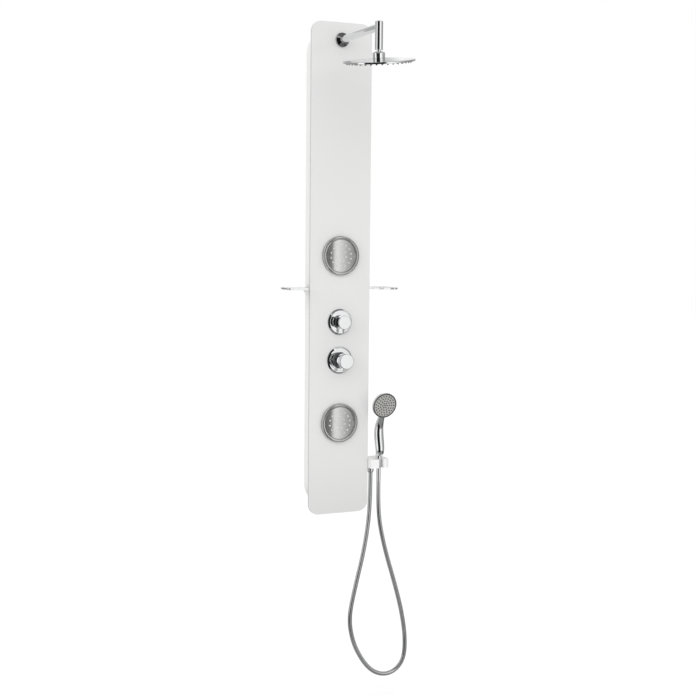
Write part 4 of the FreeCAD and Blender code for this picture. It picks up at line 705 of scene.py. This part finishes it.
class COLUMN_OT_gaskets(ColumnOperator, bpy.types.Operator):
    """Make the thin rubber rings of the trims and the jets, and the seals behind the knobs"""
    bl_idname = "column.gaskets"
    bl_label = "Gaskets"

    def execute(self, context):
        faded = [1.4 * value for value in self.colours.rubber]
        look = dress_plastic("gasket_rubber", faded, rough=0.62, grain=700.0, depth=0.3)

        def ring(made, height, profile, sides):
            turned_in(made, Vector((0, 0, height)), FACE_FRONT, profile + profile[:1], sides, False)

        def rings(made):
            # Round each trim on the plate, by its radius, and round the face of each jet
            foot, top = PLATE_FRONT + 0.01, PLATE_FRONT + 0.5
            for height, reach in ((ARM_HEIGHT, 21.5), (JETS[0], 60), (JETS[1], 60), (DIVERTER_HEIGHT, 40),
                                  (MIXER_HEIGHT, 41.5)):
                inner, outer = reach - 1.4, reach + 0.1
                ring(made, height, [(inner, foot), (outer, foot), (reach + 0.25, PLATE_FRONT + 0.15),
                                    (reach + 0.25, PLATE_FRONT + 0.35), (outer, top), (inner, top)], 96)
            inner, outer, foot, top = 49.3, 50.95, JET_FACE_FRONT - 0.05, JET_FACE_FRONT + 0.3
            for height in JETS:
                ring(made, height, [(inner, foot), (outer, foot), (outer, top), (inner, top)], 96)

        new_piece("trim_gaskets", rings, look, "column", "grey_silicone")

        def seals(made):
            for height, inner, outer, level in ((MIXER_HEIGHT, 15.2, 25.3, 67.6),
                                                (DIVERTER_HEIGHT, 13.4, 18.9, 70.2)):
                top = level + 0.6
                ring(made, height, [(inner, level), (outer, level), (outer, top), (inner + 2, top),
                                    (inner + 1, level + 0.75), (inner, top)], 72)

        new_piece("knob_seals", seals, look, "column", "grey_silicone")
        return {"FINISHED"}


class COLUMN_OT_hose(ColumnOperator, bpy.types.Operator):
    """Make the ribbed metal hose that hangs in a loop from the outlet to the handset"""
    bl_idname = "column.hose"
    bl_label = "Shower hose"

    def execute(self, context):
        sizes = bpy.context.scene.hose_sizes
        radius = sizes.diameter / 2
        low, shoulder = radius - sizes.groove, radius - sizes.groove * 0.3
        line = spline_points(HOSE_ROUTE)
        length = sum((b - a).length for a, b in zip(line, line[1:]))
        count = round(length / sizes.pitch)
        pitch = length / count
        # One rib as (share of the pitch, radius), from the bottom of the groove before it
        rib = [(0.0, low), (0.06, low), (0.11, shoulder), (0.17, radius), (0.22, radius), (0.78, radius),
               (0.83, radius), (0.89, shoulder), (0.94, low)]
        stations = [((turn + share) * pitch, size) for turn in range(count) for share, size in rib]
        stations.append((length, low))
        sides, across = 28, Vector((0, 1, 0))
        around = circle(sides)
        rings = []
        steps = walk(line, [distance for distance, _ in stations])
        for (_, size), (middle, ahead) in zip(stations, steps):
            first = across.cross(ahead).normalized()
            second = ahead.cross(first)
            rings.append([middle + size * (first * x + second * y) for x, y in around])
        tint = [0.9 * value for value in self.colours.chrome]
        look = dress_chrome("hose_chrome", tint, low=0.05, high=0.1)
        hose = new_piece("shower_hose_ribbed", lambda made: add_rings(made, rings), look, None,
                         "hose_steel", "shower_hose")
        self.follow_the_end(hose, line, length, stations, sides)
        return {"FINISHED"}

    def follow_the_end(self, hose, line, length, stations, sides):
        """Each section of the hose goes with the handset's end by its smoothed share of the length."""
        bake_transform(hose, "column", "hose_end", start=line[0], end=line[-1])
        shares = hose.data.attributes["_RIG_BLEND"].data
        held, free = 0.02, 0.95
        for ring, (distance, _) in enumerate(stations):
            share = min(max((distance / length - held) / free, 0), 1)
            for i in range(sides):
                shares[ring * sides + i].value = share * share * (3 - 2 * share)


class COLUMN_OT_stage(ColumnOperator, bpy.types.Operator):
    """Set up the pale floor, the soft lamps, the round screen of cards and the camera"""
    bl_idname = "column.stage"
    bl_label = "Studio"

    def execute(self, context):
        scene = bpy.context.scene
        values = scene.studio_values
        scene.view_settings.view_transform = "Standard"
        self.light_the_world(scene, values)
        self.lay_floor(values)
        self.hang_lamps(scene, values)
        self.hang_cards(scene, values)
        self.place_camera(scene)
        return {"FINISHED"}

    def light_the_world(self, scene, values):
        """White for the camera, softer light for matt surfaces, and a dimmer floor for polished metal."""
        world = bpy.data.worlds.new("studio")
        world.use_nodes = True
        scene.world = world
        tree = world.node_tree
        tree.nodes.clear()
        seen = node(tree, "LightPath").outputs
        height = part_of(tree, node(tree, "TexCoord").outputs["Generated"], "Z")
        # In metal the sky fades below the horizon, as a floor would, and again overhead
        below = between(tree, height, -0.45, 0.05, 0.25, values.bright)
        mirrored = maths(tree, "MULTIPLY", below, between(tree, height, 0.45, 0.85, 1.0, 0.2))
        matt = maths(tree, "SUBTRACT", 1.0, seen["Is Glossy Ray"])
        soft = maths(tree, "ADD", maths(tree, "MULTIPLY", seen["Is Glossy Ray"], mirrored),
                     maths(tree, "MULTIPLY", matt, values.light))
        through = maths(tree, "MAXIMUM", seen["Is Camera Ray"], seen["Is Transmission Ray"])
        rest = maths(tree, "MULTIPLY", maths(tree, "SUBTRACT", 1.0, through), soft)
        sky = node(tree, "Background", None, Color=(1, 1, 1, 1), Strength=maths(tree, "ADD", through, rest))
        node(tree, "OutputWorld", None, Surface=sky.outputs[0])

    def lay_floor(self, values, size=30, behind=3, albedo=0.8, glow_strength=0.24):
        """A pale matt floor that keeps the shadow. For the camera it glows, up to the backdrop's white."""
        bpy.ops.mesh.primitive_grid_add(size=size, location=(0, behind, values.floor), x_subdivisions=2,
                                        y_subdivisions=2)
        floor = bpy.context.active_object
        floor.name = "studio_floor"
        floor.visible_glossy = False
        made, tree, shader = material("studio_floor", Roughness=0.9)
        shader.inputs["Specular IOR Level"].default_value = 0.0
        shader.inputs["Base Color"].default_value = (albedo, albedo, albedo, 1)
        seen = node(tree, "LightPath").outputs
        shown = maths(tree, "MAXIMUM", seen["Is Camera Ray"], seen["Is Transmission Ray"])
        glow = node(tree, "Emission", None, Color=(1, 1, 1, 1),
                    Strength=maths(tree, "MULTIPLY", shown, glow_strength))
        both = node(tree, "AddShader", None, i0=shader.outputs[0], i1=glow.outputs[0])
        tree.links.new(both.outputs[0], tree.nodes["Material Output"].inputs["Surface"])
        floor.data.materials.append(made)

    def hang_lamps(self, scene, values):
        """Two broad lamps: where each shines from, how wide it is in degrees, and its strength."""
        lamps = [("key", (-1.3, -4.0, 1.8), 60, values.key), ("side", (-5.0, -0.6, 1.6), 50, values.side)]
        for name, where, spread, power in lamps:
            lamp = bpy.data.lights.new(f"{name}_lamp", "SUN")
            lamp.energy, lamp.angle = power, math.radians(spread)
            holder = bpy.data.objects.new(f"{name}_lamp", lamp)
            holder.rotation_euler = (-Vector(where)).to_track_quat("-Z", "Y").to_euler()
            holder.visible_glossy = False
            scene.collection.objects.link(holder)

    def hang_cards(self, scene, values, radius=3.0, low=-2.6, high=2.4, sides=96):
        """A round screen of bright and dark cards, seen only in polished metal."""
        mesh = bpy.data.meshes.new("studio_cards")
        made = bmesh.new()
        rows = [[made.verts.new((radius * y, -radius * x, level)) for x, y in circle(sides)]
                for level in (low, high)]
        for i in range(sides):
            j = (i + 1) % sides
            made.faces.new((rows[0][i], rows[0][j], rows[1][j], rows[1][i]))
        made.to_mesh(mesh)
        made.free()
        screen = bpy.data.objects.new("studio_cards", mesh)
        look, tree, shader = material("studio_cards")
        tree.nodes.remove(shader)
        spot = node(tree, "SeparateXYZ", None, Vector=place(tree)).outputs
        turn = maths(tree, "ARCTAN2", spot["X"], maths(tree, "MULTIPLY", spot["Y"], -1.0))
        ramp = node(tree, "ValToRGB", None, Fac=between(tree, turn, -math.pi, math.pi))
        stops = ramp.color_ramp.elements
        while len(stops) < len(CARDS):
            stops.new(0.5)
        for stop, (angle, share) in zip(stops, CARDS):
            stop.position = (angle + 180) / 360
            stop.color = (share, share, share, 1)
        low_down = between(tree, spot["Z"], values.floor - 0.25, values.floor + 0.1, 0.3, 1.0)
        glow = node(tree, "Emission", None, Color=ramp.outputs["Color"],
                    Strength=maths(tree, "MULTIPLY", low_down, values.bright))
        tree.links.new(glow.outputs[0], tree.nodes["Material Output"].inputs["Surface"])
        mesh.materials.append(look)
        scene.collection.objects.link(screen)
        screen.visible_camera = screen.visible_diffuse = screen.visible_shadow = False
        screen.visible_transmission = False

    def place_camera(self, scene):
        """The photograph's view, for a square picture."""
        yaw, pitch, roll = (math.radians(angle) for angle in CAMERA_TURN)
        ahead = Vector((math.sin(yaw) * math.cos(pitch), math.cos(yaw) * math.cos(pitch), -math.sin(pitch)))
        level = Vector((math.cos(yaw), -math.sin(yaw), 0))
        above = level.cross(ahead)
        right = level * math.cos(roll) + above * math.sin(roll)
        upward = -level * math.sin(roll) + above * math.cos(roll)
        lens = bpy.data.cameras.new("camera")
        lens.lens, lens.sensor_width = CAMERA_SENSOR * CAMERA_FOCAL / CAMERA_FRAME, CAMERA_SENSOR
        lens.clip_start, lens.clip_end = 0.05, 100
        holder = bpy.data.objects.new("camera", lens)
        turn = Matrix((right, upward, -ahead)).transposed().to_4x4()
        holder.matrix_world = Matrix.Translation(CAMERA_PLACE) @ turn
        scene.collection.objects.link(holder)
        scene.camera = holder


STEPS = [COLUMN_OT_effects, COLUMN_OT_stage, COLUMN_OT_hose, COLUMN_OT_plate, COLUMN_OT_shelves,
         COLUMN_OT_chrome, COLUMN_OT_steel, COLUMN_OT_inside, COLUMN_OT_plastics, COLUMN_OT_nozzles,
         COLUMN_OT_gaskets]


class COLUMN_PT_steps(bpy.types.Panel):
    """The steps that dress the shower panel column"""
    bl_label = "Shower column"
    bl_space_type = "VIEW_3D"
    bl_region_type = "UI"
    bl_category = "Shower column"

    def draw(self, context):
        for step in STEPS:
            self.layout.operator(step.bl_idname)
        for name, kind in GROUPS_OF_VALUES.items():
            for value in kind.__annotations__:
                self.layout.prop(getattr(context.scene, name), value)


CLASSES = [*GROUPS_OF_VALUES.values(), *STEPS, COLUMN_PT_steps]


def register():
    for kind in CLASSES:
        bpy.utils.register_class(kind)
    for name, kind in GROUPS_OF_VALUES.items():
        setattr(bpy.types.Scene, name, bpy.props.PointerProperty(type=kind))


def unregister():
    for name in GROUPS_OF_VALUES:
        delattr(bpy.types.Scene, name)
    for kind in reversed(CLASSES):
        bpy.utils.unregister_class(kind)


def main():
    register()
    for step in STEPS:
        family, word = step.bl_idname.split(".")
        getattr(getattr(bpy.ops, family), word)()


if __name__ == "__main__":
    main()
